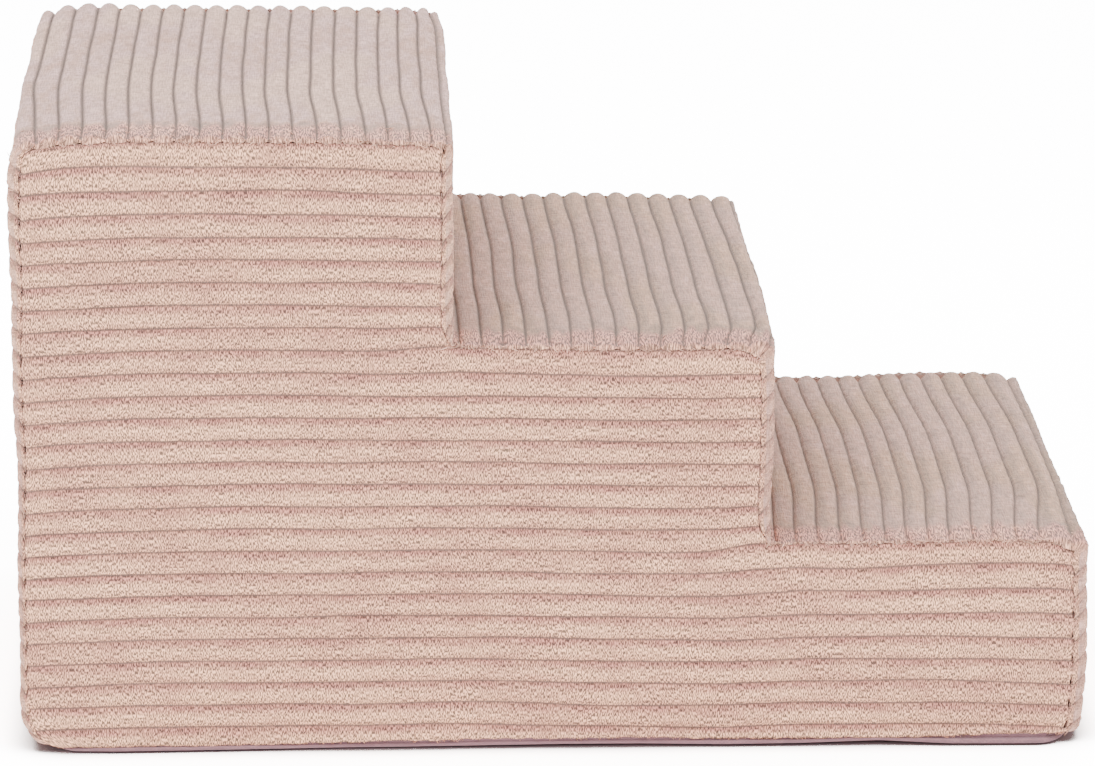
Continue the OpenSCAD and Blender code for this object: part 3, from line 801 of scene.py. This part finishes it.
def cover(name, node, path, grooves, turn, bow, flatness, tread_nap_and_shade, rising, seed,
          far_scallops=0.2, line=1.0):
    """A ribbed cover along a path, rolled round both long edges into the side seams."""
    columns = across_columns(3.3 * MM)
    count = len(columns)
    kinds = np.array([kind for kind, t, side in columns])
    t, side = np.array([column[1:] for column in columns], float).T
    face = kinds == "face"

    def by_kind(**values):
        """A value for each column by its kind, and 0 for the other kinds."""
        return np.select([kinds == kind for kind in values], list(values.values()), 0.0)

    # Rough distance across the cover, for the course of the grooves
    beyond = by_kind(edge=7 * t / 90, lip=11 - 4 * t, roll=11 + 2 * t / 90, inner=14)
    cloth_y = np.where(face, t * (SIDE - 5 * MM), side * (SIDE - (5 - beyond) * MM))
    wander = Unevenness(seed, 110 * MM)
    keys = [np.zeros(count)]
    for number, place in enumerate(grooves):
        keys.append(place + bow(number, cloth_y) + 0.2 * MM * wander(cloth_y, number * 1.9))
    keys.append(np.full(count, path.length))
    for low, high in zip(keys[:-1], keys[1:]):
        high[:] = np.maximum(high, low + 1.5 * MM)
    s, share = rib_lines(keys, 1 - min(1.0, grooves[0] / PITCH),
                         min(1.0, (path.length - grooves[-1]) / PITCH))
    share = np.repeat(share[:, None], count, 1)
    px, pz, nx, nz, bend = path(s)
    flat = flatness(pz)
    # The pile is pressed, with its greyer tones and their painted sheen, a little further down the
    # nose than the ribs are flattened
    pressed = flat.max() * smooth(pz.max() - 9.5 * MM, pz.max() - 4 * MM, pz)

    # Across the cover: how far down the turned edge and how far in each column lies
    width = turn(px, pz)
    radius, roll = np.minimum(6 * MM, 0.58 * width), np.minimum(SEAM_ROLL, 0.38 * width)
    sin, cos = np.sin(np.radians(t)), np.cos(np.radians(t))
    down = by_kind(inner=np.maximum(width, PAD), roll=width - roll * (1 - sin),
                   lip=(width - roll) * (1 - t) + radius * t, edge=radius * (1 - cos))
    inset = by_kind(inner=4.4 * MM, roll=roll * (1 - cos), edge=radius * (1 - sin))
    up = by_kind(face=1, inner=-1, roll=-sin, edge=cos)
    out = np.broadcast_to(side * by_kind(roll=cos, lip=1, edge=sin), s.shape)
    y = np.where(face, t * (SIDE - radius), side * (SIDE - inset))
    base = np.stack([px - nx * down, y, pz - nz * down], -1)
    across = np.cumsum(np.linalg.norm(np.diff(base, axis=1, prepend=base[:, :1]), axis=2), axis=1)
    across = across - across[:, [count // 2]]

    # Where the pile is rubbed at the long edges, with a ragged border on the near side
    ragged = 3 * MM * Unevenness(seed + 7, 7 * MM)(s, 0)
    at_edge = np.where(y < 0, rise(156, 167, ragged - y), rise(186, 196, y))
    at_edge = np.where(face, at_edge, 1)
    ragged = 5 * MM * Unevenness(seed + 8, 9 * MM)(s, 0)
    rough = np.where(face, rise(162, 179, ragged - y), side < 0)

    rounded = np.maximum(bend, rise(180, 194, np.abs(y))) * (0.35 + 0.65 * flat)
    swell = Unevenness(seed + 2, 110 * MM)(s, y) * 0.4 * MM * (1 - rounded)
    lumps = Unevenness(seed + 3, 15 * MM, 12)(s * 2, y) * 0.15 * MM
    taut = np.where(face, rise(160, 190, np.abs(y)), by_kind(roll=0.7, lip=0.6 + 0.35 * t, edge=1))
    taut = taut * (1 - flat) * (1 - 0.5 * bend)
    sharp = 2.3 + (1 - rounded) * (0.9 + 3.4 * flat) + 1.2 * taut
    groove = GROOVE * (0.86 + 0.22 * rounded) * (1 - 0.64 * taut)
    groove = groove * (1 + far_scallops * flat * rise(150, 192, y))
    depth = rib_depth(share, sharp, groove * by_kind(face=1, edge=1, lip=0.9, roll=0.45))
    depth = depth + roll_depth(np.minimum(s, path.length - s), 1.8 * MM) - swell - lumps
    depth = np.where(kinds == "inner", 0, depth)
    x = px - nx * down - depth * nx * up
    z = pz - nz * down - depth * nz * up
    y = y - depth * out
    # Room for the pull tab at the foot of the far side
    y = np.minimum(y, SIDE + (1 - TAB_ROOM * (1 - rise(9, 15, z))) * MM)
    shown_x, shown_z = settle(x, y, z)
    points = np.stack([shown_x, y, shown_z], -1)
    index = np.arange(s.size).reshape(s.shape)
    # The inner edges are joined straight across, and each end has a cap
    strip = np.stack([index[:-1, 0], index[:-1, -1], index[1:, -1], index[1:, 0]], -1)
    faces = grid_quads(index, flip=True) + strip.tolist()
    faces += [index[0].tolist(), index[-1, ::-1].tolist()]

    drift = Unevenness(seed + 5, 40 * MM)(s, y) * 1.2 * MM
    seam_far = by_kind(roll=2.2 * (1 - t / 90), lip=2.2 + 3 * t, edge=6 + (90 - t) / 15, face=60)
    in_groove = np.abs(2 * share - 1)
    # The grooves of a tread end in a pit at its near edge, given a painted shadow
    painted_pit_shadow = flat * smooth(0.88, 1, in_groove) * (y < 0) * ((kinds == "edge") & (t > 10) & (t < 65))
    # Painted sheen along the long edges of a riser or back, where the cloth turns away: the pressed
    # pile's tones there
    edge_sheen = by_kind(edge=0.8 * t / 90) + 0.8 * rise(186, 193, np.abs(y)) * face
    # On a tread the pile is paler towards the nose side of a rib, a painted highlight as if lit
    # from the nose, darker on the lower steps, and rubbed pink at the edges
    lip = by_kind(inner=1, roll=1, lip=1, edge=t / 90)
    pink = at_edge * (y < 0)
    on_tread = (tread_nap_and_shade[0] + tread_nap_and_shade[1] * (smooth(0.22, 0.6, share) - 0.5)) * (1 - pink)
    on_tread = on_tread + pink * (0.6 * lip - 0.48)
    # The grooves' painted shade is lighter round the corner, and it stops above a tread's seam
    fade = np.where(flat > 0.5, 0.25 * lip, by_kind(edge=0.1, lip=-0.05))
    fade = np.where((flat > 0.5) & (y > SIDE - 5 * MM), 0.3, fade)
    layers = {
        "cloth": np.stack([across + drift, s, np.full_like(s, seed)], -1).reshape(-1, 3),
        "groove": (np.minimum(in_groove * (1 - fade), 1)
                   * (1 - 0.12 * at_edge * flat * (y > 0)) * (1 - (1 - line) * flat)).ravel(),
        "brushed": (rough * flat * (y < 0)).ravel(),
        # Rib tone on a riser or back, tread tone on pressed pile: the nap with painted highlight
        # and painted shade
        "nap_and_shade": (rib_nap_and_shade(share if rising else 1 - share) * (1 - pressed)
                 + on_tread * pressed).ravel(),
        "flat": np.maximum(pressed * (1 - 0.75 * rough), edge_sheen * (1 - flat)).ravel(),
        "seam": (np.exp(-seam_far * MM / SEAM_SHADE) + 1.3 * painted_pit_shadow).ravel(),
    }
    piece = solid_mesh(name, points, faces, PLUSH, layers, node)
    return piece, points, np.stack([nx * up, out, nz * up], -1), columns


def droop_at_edges(y):
    """The ribs of a riser or back run down a little where they turn onto the sides."""
    return rise(195, 208, np.abs(y))


def tread_bow(step, number, y):
    """How far a groove of a tread bends towards its nose, in mm: on the top step at both long
    edges, and on the others it leans back at the far edge and the near end of the nose."""
    if step == 3:
        return 4.8 * rise(40, 185, -y) + 1.2 * rise(60, 190, y)
    if step == 2:
        near = 1.9 * rise(40, 130, -y) - 3.9 * rise(152, 192, -y) * smooth(4, 13, number)
        return near - 3.2 * rise(50, 175, y)
    near = (6.0 + 5.0 * smooth(3, 13, number)) * rise(60, 190, -y)
    return -near - 5.2 * rise(45, 175, y)


def step_cover(step):
    """A step's tread, nose and riser in one cover."""
    path, top, treads = step_path(step), TOPS[step], TREAD_GROOVES[step][2]

    def turn(x, z):
        on_tread = smooth(top - NOSE_RADIUS - 4 * MM, top - 1 * MM, z)
        return riser_turn(step, z) * (1 - on_tread) + tread_turn(step, x) * on_tread

    def bow(number, y):
        if number > treads:
            return 7.5 * MM * droop_at_edges(y)
        return (1.0 if number < treads else 0.3) * MM * tread_bow(step, number, y)
    label = STEP_NAMES[step]
    return cover("plush_cover_" + label, "step_cover_" + label, path, groove_places(step, path),
                 turn, bow, lambda z: smooth(top - 5 * MM, top - 0.5 * MM, z),
                 (0.2, 0.0) if step == 3 else (-0.29, 0.40), False, 100 * step,
                 0.4 if step == 3 else 0.2, {3: 1.01, 2: 1.0, 1: 0.93}[step])


covers = {label: step_cover(step) for step, label in STEP_NAMES.items()}
back_path = Path([(396.4 * MM - BACK_FOOT, "line", ((BACK, BACK_FOOT), (0, 1)))])
covers["back"] = cover(
    "plush_back", "back_panel", back_path, [(9.5 + 14.85 * k) * MM for k in range(26)],
    lambda x, z: back_turn(z), lambda number, y: -5.0 * MM * droop_at_edges(y), np.zeros_like,
    (0, 0), True, 700)
near_panel, near_hem_points = side_panel("plush_side_near", "side_panel_near", -1, 11, 5.2 * MM)
far_panel, far_hem_points = side_panel("plush_side_far", "side_panel_far", 1, 31, 8.8 * MM)


# ---------------------------------------------------------------- curls of pile

# Width of a strand along its length
CURL_TAPER = ((0, 1.0), (0.3, 1.05), (0.6, 0.85), (0.85, 0.55), (1.0, 0.15))
STITCH_TAPER = ((0, 0.35), (0.15, 0.9), (0.5, 1.0), (0.85, 0.9), (1.0, 0.35))


def strands(name, starts, ways, bends, widths, taper, sides, finish, layers,
            node=None):
    """Short closed strands: each leaves its start, bends over and tapers."""
    levels, sizes = np.array(taper).T
    rings, count = len(levels), len(starts)
    at = levels[None, :, None]
    spine = starts[:, None] + ways[:, None] * at + bends[:, None] * at ** 2
    tangent = unit(ways[:, None] + 2 * bends[:, None] * at)
    helper = np.where(np.abs(tangent[..., :1]) > 0.8, [0.0, 1.0, 0.0], [1.0, 0.0, 0.0])
    side = unit(np.cross(tangent, helper))
    other = np.cross(tangent, side)
    angles = 2 * math.pi * np.arange(sides)[:, None] / sides
    around = side[:, :, None] * np.cos(angles) + other[:, :, None] * np.sin(angles)
    points = spine[:, :, None] + around * (widths[:, None] * sizes)[..., None, None]
    spread = {key: np.repeat(value, rings * sides, 0) for key, value in layers.items()}
    solid_mesh(name, points, ring_faces(rings, sides, count), finish, spread, node)


def pile_strands(name, spots, sunk, ways, bends, widths, nap_and_shade, flat, draw):
    """Strands of plush that start a little under their spots, with one tone to a strand."""
    count = len(spots)
    cloth = np.stack([spots[:, 0] + spots[:, 1], spots[:, 2], draw.uniform(0, 1, count)], 1)
    layers = {"cloth": cloth, "groove": np.full(count, 0.3),
              "nap_and_shade": nap_and_shade + draw.normal(0, 0.18, count),
              "flat": np.full(count, flat), "seam": np.full(count, 0.1)}
    strands(name, spots - sunk, ways, bends, widths, CURL_TAPER, 3, PLUSH, layers)


def curls_on(name, made, count, seed, side):
    """Curls of pile that spill over a cover's turned edge towards its seam."""
    _, points, normals, columns = made
    draw = np.random.default_rng(seed)
    weight = {"roll": 0.8, "lip": 1.6, "edge": 1.0 if side < 0 else 0.0, "face": 0.6}
    usable = [j for j, (kind, t, where) in enumerate(columns)
              if (where == side and kind in weight and (kind, t) != ("roll", 90)
                  and (side < 0 or kind != "lip" or t < 0.6))
              or (kind == "face" and side < 0 and -0.995 < t < -0.86)]
    chance = np.array([weight[columns[j][0]] for j in usable])
    j = draw.choice(usable, count, p=chance / chance.sum())
    rows = np.arange(2, points.shape[0] - 3)
    if side > 0:
        # None where a tread's far edge stands against the light, nor where the pull tab lies
        middle = len(columns) // 2
        rows = rows[(normals[rows, middle, 2] < 0.5) & (points[rows, middle, 2] > 18 * MM)]
    i = draw.choice(rows, count)
    # None in the grooves
    i = np.where((i % PER_RIB < 2) | (i % PER_RIB > 11), i // PER_RIB * PER_RIB + 6, i)
    i = np.minimum(i, points.shape[0] - 3)
    mix = draw.uniform(0, 1, (count, 1))
    to_seam = unit(points[i, j + side] - points[i, j - side])
    along = unit(points[i + 1, j] - points[i - 1, j])
    spots = points[i, j] * mix + points[i, j - side] * (1 - mix)
    normal = normals[i, j]
    run = MM * draw.uniform(1.8, 4.6, (count, 1))
    way = (to_seam * draw.uniform(0.5, 1.0, (count, 1)) + along * draw.normal(0, 0.35, (count, 1))
           + normal * draw.uniform(0.1, 0.35, (count, 1)))
    bend = along * draw.normal(0, 0.45, (count, 1)) - normal * 0.3
    pile_strands(name, spots, normal * 0.25 * MM, way * run, bend * run,
                 MM * draw.uniform(0.26, 0.5, count), 0.25, 0.5, draw)


def hem_tufts(name, hem, side, count, seed):
    """The ragged lower edge of a side panel: tufts that hang over the base border."""
    draw = np.random.default_rng(seed)
    place = draw.uniform(0, len(hem) - 1.001, count)
    k, mix = place.astype(int), (place % 1)[:, None]
    spots = hem[k] * (1 - mix) + hem[k + 1] * mix
    spots[:, 1] += side * draw.uniform(-0.6, 0.9, count) * MM
    spots[:, 2] += draw.uniform(0.1, 2.2, count) * MM
    # Shorter on the far side, above the zip
    run = MM * draw.uniform(0.9, 2.5, (count, 1)) * (1 if side < 0 else 0.5)
    way = np.stack([draw.normal(0, 0.4, count), side * draw.uniform(0, 0.45, count),
                    -draw.uniform(0.5, 1.0, count)], 1)
    bend = np.stack([draw.normal(0, 0.4, count), -side * np.full(count, 0.25),
                     draw.normal(0, 0.15, count)], 1)
    pile_strands(name, spots, 0 * spots, way * run, bend * run,
                 MM * draw.uniform(0.22, 0.4, count), 0.0, 0.0, draw)


for label, amount in (("top", 1250), ("middle", 1000), ("lower", 1000), ("back", 620)):
    for side, where in ((-1, "near"), (1, "far")):
        seed = 900 + 10 * len(label) + side
        curls_on(f"pile_curls_{label}_{where}", covers[label], amount, seed, side)
hem_tufts("hem_tufts_near", near_hem_points, -1, 1500, 951)
hem_tufts("hem_tufts_far", far_hem_points, 1, 1300, 952)


# ---------------------------------------------------------------- seams

def stitches(name, node, route, seed):
    """Lockstitch along a route of points: short rounded stitches, evenly spaced."""
    draw = np.random.default_rng(seed)
    pitch = 3.4 * MM
    lengths = np.concatenate([[0], np.cumsum(np.linalg.norm(np.diff(route, axis=0), axis=1))])
    count = int(lengths[-1] / pitch)
    middles = (np.arange(count) + 0.5) * lengths[-1] / count
    first, last = (np.stack([np.interp(middles + half, lengths, route[:, k]) for k in range(3)], 1)
                   for half in (-0.44 * pitch, 0.44 * pitch))
    place = first + draw.normal(0, 0.05, (count, 3)) * MM
    cloth = np.stack([place[:, 0] + place[:, 1], place[:, 2] + place[:, 1],
                      draw.uniform(0, 1, count)], 1)
    strands(name, place, last - first, 0 * place, MM * draw.uniform(0.36, 0.44, count),
            STITCH_TAPER, 6, THREAD, {"cloth": cloth}, node)


def side_seam(side):
    """The seam round a side panel, from the foot of the back over the steps to the front."""
    y = side * (SIDE - SEAM_ROLL - 0.9 * MM)
    low = np.linspace(9 * MM, TOPS[3] - 8 * MM, 120)
    route = [(BACK + back_turn(low), low)]
    for step in STEP_NAMES:
        start = BACK + 9 * MM if step == 3 else NOSES[step + 1] + 1 * MM
        tread = np.linspace(start, NOSES[step] - 10 * MM, 70)
        foot = TOPS[step - 1] - 1 * MM if step > 1 else 10 * MM
        riser = np.linspace(TOPS[step] - 11 * MM, foot, 50)
        route += [(tread, TOPS[step] - tread_turn(step, tread)),
                  (NOSES[step] - riser_turn(step, riser), riser)]
    x, z = np.concatenate(route, axis=1)
    x, z = settle(x, y, z)
    return np.stack([x, np.full_like(x, y), z], 1)


def rounded_loop(x_low, x_high, y_low, y_high, corner, step):
    """Points round a rectangle with round corners, and the outward way at each."""
    outline = []
    for cx, cy, start in ((x_high - corner, y_low + corner, -90),
                          (x_high - corner, y_high - corner, 0),
                          (x_low + corner, y_high - corner, 90),
                          (x_low + corner, y_low + corner, 180)):
        for angle in np.radians(np.linspace(start, start + 90, 11)):
            outward = np.array([math.cos(angle), math.sin(angle)])
            outline.append(np.concatenate([(cx, cy) + corner * outward, outward]))
    dense = []
    for here, after in zip(outline, outline[1:] + outline[:1]):
        steps = max(1, int(np.linalg.norm(after[:2] - here[:2]) / step))
        dense += [here + (after - here) * k / steps for k in range(steps)]
    return np.array(dense)


BASE_EDGE = rounded_loop(BACK + 2.2 * MM, FRONT - 2.8 * MM, -SIDE + 2.6 * MM, SIDE - 4.3 * MM,
                         22 * MM, 5 * MM)
BASE_EDGE[:, 0] = tuck_foot(BASE_EDGE[:, 0], 5.6 * MM, BASE_EDGE[:, 1])


def base_lift(x, y):
    """The near border waves a little up and down off the floor."""
    return read(BASE_LIFT, x) * (1 - rise(-190, -150, y))


for side, where, seed in ((-1, "near", 71), (1, "far", 72)):
    stitches("seam_stitches_" + where, "seam_thread_" + where, side_seam(side), seed)
across = np.linspace(-SIDE + 11 * MM, SIDE - 11 * MM, 60)
back_x, back_z = settle(BACK + 1.6 * MM, across, 394.6 * MM)
stitches("seam_stitches_back", "seam_thread_back", np.stack([back_x, across, back_z], 1), 73)
# The base's seam leaves out the far side, where the zip is
ring = BASE_EDGE[BASE_EDGE[:, 1] < SIDE - 12 * MM]
ring = np.roll(ring, -np.argmax(np.linalg.norm(np.diff(ring[:, :2], axis=0), axis=1)) - 1, axis=0)
x, y = ring[:, :2].T
ring_xy = ring[:, :2] + 0.2 * MM * ring[:, 2:]
stitches("seam_stitches_base", "seam_thread_base",
         np.column_stack([ring_xy, 6.0 * MM + base_lift(x, y)]), 74)


# ---------------------------------------------------------------- base cloth

# Out and up, in mm, from the underside round the two folds of the border and back down
BORDER_FOLDS = [(-30, 0.0), (-12, 0.0), (-6, 0.0), (-3.0, 0.1), (-1.2, 0.3), (-0.2, 0.8),
                (0.3, 1.5), (0.2, 2.2), (-0.5, 2.65), (-0.95, 2.85), (-0.35, 3.1), (0.05, 3.7),
                (0.05, 4.9), (-0.5, 6.2), (-1.4, 7.6), (-2.4, 9), (-3.3, 8.9), (-2.9, 7),
                (-2.4, 5.4), (-2.4, 4), (-3.6, 1.6), (-8, 1.2), (-30, 1.2)]


def base_cloth():
    """The tray of base cloth: flat underneath, turned up at the near side, back and front."""
    x, y, out_x, out_y = BASE_EDGE.T
    uneven = Unevenness(51, 50 * MM)(x, y)
    bulge = read(BASE_BULGE, x) * (1 - rise(-190, -172, y))
    run = np.concatenate([[0], np.cumsum(np.hypot(np.diff(x), np.diff(y)))])
    points, cloth, travel, before = [], [], 0.0, BORDER_FOLDS[0]
    for out, up in BORDER_FOLDS:
        standing = up > 2
        z = 0.8 * MM + up * MM * (1 - 0.75 * rise(170, 190, y) * standing)
        z = z + base_lift(x, y) * np.clip((out + 6) / 4, 0, 1) * np.clip(2 - up / 6, 0, 1)
        z = z + 0.12 * MM * uneven * standing
        pressed = bulge * np.clip(1 - abs(up - 1.2) / 1.6, 0, 1) * (out > -2)
        points.append(np.stack([x + out_x * out * MM, y + out_y * (out * MM + pressed), z], 1))
        travel += math.hypot(out - before[0], up - before[1]) * MM
        cloth.append(np.stack([run, np.full(len(run), travel), 0 * run], 1))
        before = out, up
    solid_mesh("base_cloth_tray", np.concatenate(points), ring_faces(len(points), len(x)),
               BASE_WEAVE, {"cloth": np.concatenate(cloth)}, "base_cloth_panel")


base_cloth()


# ---------------------------------------------------------------- zip

def zip_tape(name, node, seed):
    """A woven tape: a thin strip with rounded selvedges that ripples slightly."""
    (x0, y0, z0), (x1, y1, z1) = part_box(node)
    x = np.array(np.arange(x0, x1, 6 * MM).tolist() + [x1])[:, None]
    across = np.concatenate([[0, 0.04], np.linspace(0.15, 0.85, 5), [0.96, 1]])
    thick = np.concatenate([[0.45, 0.9], np.ones(5), [0.9, 0.45]])
    a, t = np.concatenate([across, across[::-1]]), np.concatenate([thick, -thick[::-1]])
    z = z0 + (z1 - z0) * a + 0 * x
    sway = 0.12 * MM * Unevenness(seed, 45 * MM)(x, z) * np.minimum(1, 6 * a * (1 - a) + 0.2)
    y = (y0 + y1) / 2 + (y1 - y0) / 2 * t * 0.9 + sway
    x = x + 0 * z
    solid_mesh(name, np.stack([x, y, z], -1), ring_faces(*z.shape), TAPE_WEAVE,
               {"cloth": np.stack([x, z, 0 * z], -1).reshape(-1, 3)}, node)


def zip_coil(name, node, start_turn):
    """One side of a coil zip: a nylon wire wound in flattened turns along its tape."""
    (x0, y0, z0), (x1, y1, z1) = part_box(node)
    wire, pitch, steps, sides = 0.2 * MM, 1.3 * MM, 8, 4
    angle = np.arange(int((x1 - x0) / pitch) * steps + 1) * 2 * math.pi / steps + start_turn
    x = np.linspace(x0 + wire, x1 - wire, len(angle))
    ry, rz = (y1 - y0) / 2 - wire, max((z1 - z0) / 2 - wire, 0.25 * MM)
    spine = np.stack([x, (y0 + y1) / 2 + ry * np.cos(angle), (z0 + z1) / 2 + rz * np.sin(angle)], 1)
    tangent = unit(np.gradient(spine, axis=0))
    side = unit(np.cross(tangent, np.stack([0 * x, np.cos(angle), np.sin(angle)], 1)))
    other = np.cross(tangent, side)
    corners = 2 * math.pi * np.arange(sides)[:, None] / sides
    around = side[:, None] * np.cos(corners) + other[:, None] * np.sin(corners)
    points = (spine[:, None] + wire * around).reshape(-1, 3)
    solid_mesh(name, points, ring_faces(len(spine), sides), COIL,
               {"cloth": points}, node)


zip_tape("zip_tape_woven_upper", "zip_tape_upper", 81)
zip_tape("zip_tape_woven_lower", "zip_tape_lower", 82)
zip_coil("zip_coil_wire_upper", "zip_coil_upper", 0)
zip_coil("zip_coil_wire_lower", "zip_coil_lower", math.pi)

# CAD pieces whose shape is right only get their finish
for node, finish in (("zip_slider", METAL), ("zip_pull_tab", METAL), ("zip_end_stops", METAL),
                     ("grip_dots", RUBBER)):
    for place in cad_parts[node].material_slots:
        place.material = finish


# ---------------------------------------------------------------- foam core

def foam_block(name, node, seed):
    """A slab of foam cut square, its edges eased and its faces a little uneven."""
    low, high = np.array(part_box(node)) + [[4.2 * MM] * 3, [-4.2 * MM] * 3]
    uneven = Unevenness(seed, 90 * MM)
    shape = bmesh.new()
    bmesh.ops.create_cube(shape, size=1)
    bmesh.ops.subdivide_edges(shape, edges=shape.edges[:], cuts=23, use_grid_fill=True)
    for vert in shape.verts:
        # Places crowd towards the edges, where the slab is eased
        share = 0.5 + 0.5 * np.sin(np.array(vert.co) * math.pi)
        at = low + (high - low) * share
        outward = np.clip((np.abs(share - 0.5) - 0.47) / 0.03, 0, 1)
        if outward.sum() > 1:
            at -= np.sign(share - 0.5) * outward * (outward.sum() - 1) * 1.6 * MM
        at[0] = tuck_foot(at[0], at[2] - 1.5 * MM, at[1])
        vert.co = at + 0.25 * MM * float(uneven(at[0] + at[1], at[2]))
    mesh = bpy.data.meshes.new(name)
    shape.to_mesh(mesh)
    shape.free()
    put_piece(name, mesh, FOAM, node)


for place, seed in (("lower", 61), ("middle", 62), ("upper", 63)):
    foam_block("foam_core_" + place, "foam_slab_" + place, seed)


# ---------------------------------------------------------------- stage, light and camera

def stage_finish():
    """A floor that is white to the camera, with a painted shadow from ambient occlusion close to
    the stairs.
    """
    finish, nodes = new_finish("pale floor")
    tone = nodes.noise(nodes.place(), 0.6)
    bright = nodes.mix(tone, (5.1, 5.1, 5.15), (5.2, 5.2, 5.2))
    # Painted shadow on the floor: a soft wide one, then a dark narrow one at the contact
    for reach, (low, high, least), painted_shadow_tone in ((0.028, (0.38, 0.94, 0.12), (0.12, 0.11, 0.11)),
                                            (0.009, (0.66, 0.80, 0.0), (0.14, 0.10, 0.105))):
        near = nodes.add("AmbientOcclusion", samples=12, Distance=reach).outputs["AO"]
        bright = nodes.mix(nodes.level(near, low, high, least), painted_shadow_tone, bright)
    seen = nodes.add("LightPath").outputs["Is Camera Ray"]
    plain = nodes.mix(tone, (0.90, 0.90, 0.905), (0.92, 0.92, 0.92))
    nodes.shade(Base_Color=nodes.mix(seen, plain, bright), Roughness=0.8,
                Specular_IOR_Level=0.1)
    return finish


floor_mesh = bpy.data.meshes.new("studio_floor")
reach = 30.0
floor_mesh.from_pydata([(-reach, -reach, 0), (reach, -reach, 0), (reach, reach, 0),
                        (-reach, reach, 0)], [], [(0, 1, 2, 3)])
floor_mesh.materials.append(stage_finish())
floor = bpy.data.objects.new("studio_floor", floor_mesh)
bpy.context.scene.collection.objects.link(floor)

world = bpy.data.worlds.new("studio")
bpy.context.scene.world = world
world.use_nodes = True
world.node_tree.nodes["Background"].inputs["Color"].default_value = (1, 1, 1, 1)
world.node_tree.nodes["Background"].inputs["Strength"].default_value = 2.76


def soft_light(name, place, aim, size, power):
    lamp = bpy.data.lights.new(name, "AREA")
    lamp.shape = "RECTANGLE"
    lamp.size, lamp.size_y = size
    lamp.energy = power
    holder = bpy.data.objects.new(name, lamp)
    bpy.context.scene.collection.objects.link(holder)
    holder.location = place
    holder.rotation_mode = "QUATERNION"
    holder.rotation_quaternion = (Vector(aim) - Vector(place)).to_track_quat("-Z", "Y")


soft_light("softbox_over", (-0.3, -0.9, 2.4), (0, 0, 0.15), (2.2, 1.6), 46)
soft_light("softbox_front", (-1.6, -2.6, 1.3), (0, 0, 0.2), (1.4, 1.4), 25)

view = bpy.data.cameras.new("view")
view.lens = 191.3
view.sensor_width = 36
view.clip_start, view.clip_end = 0.05, 100
camera = bpy.data.objects.new("view", view)
bpy.context.scene.collection.objects.link(camera)
yaw, pitch, roll = 0.03603, 0.27133, 0.00148
ahead = Vector((math.sin(yaw) * math.cos(pitch), math.cos(yaw) * math.cos(pitch),
                -math.sin(pitch)))
right = Vector((math.cos(yaw), -math.sin(yaw), 0))
above = right.cross(ahead)
turned_right = right * math.cos(roll) + above * math.sin(roll)
turned_above = above * math.cos(roll) - right * math.sin(roll)
turn = Matrix((turned_right, turned_above, -ahead)).transposed()
camera.matrix_world = Matrix.Translation((-0.1318, -3.7342, 1.2267)) @ turn.to_4x4()
bpy.context.scene.camera = camera
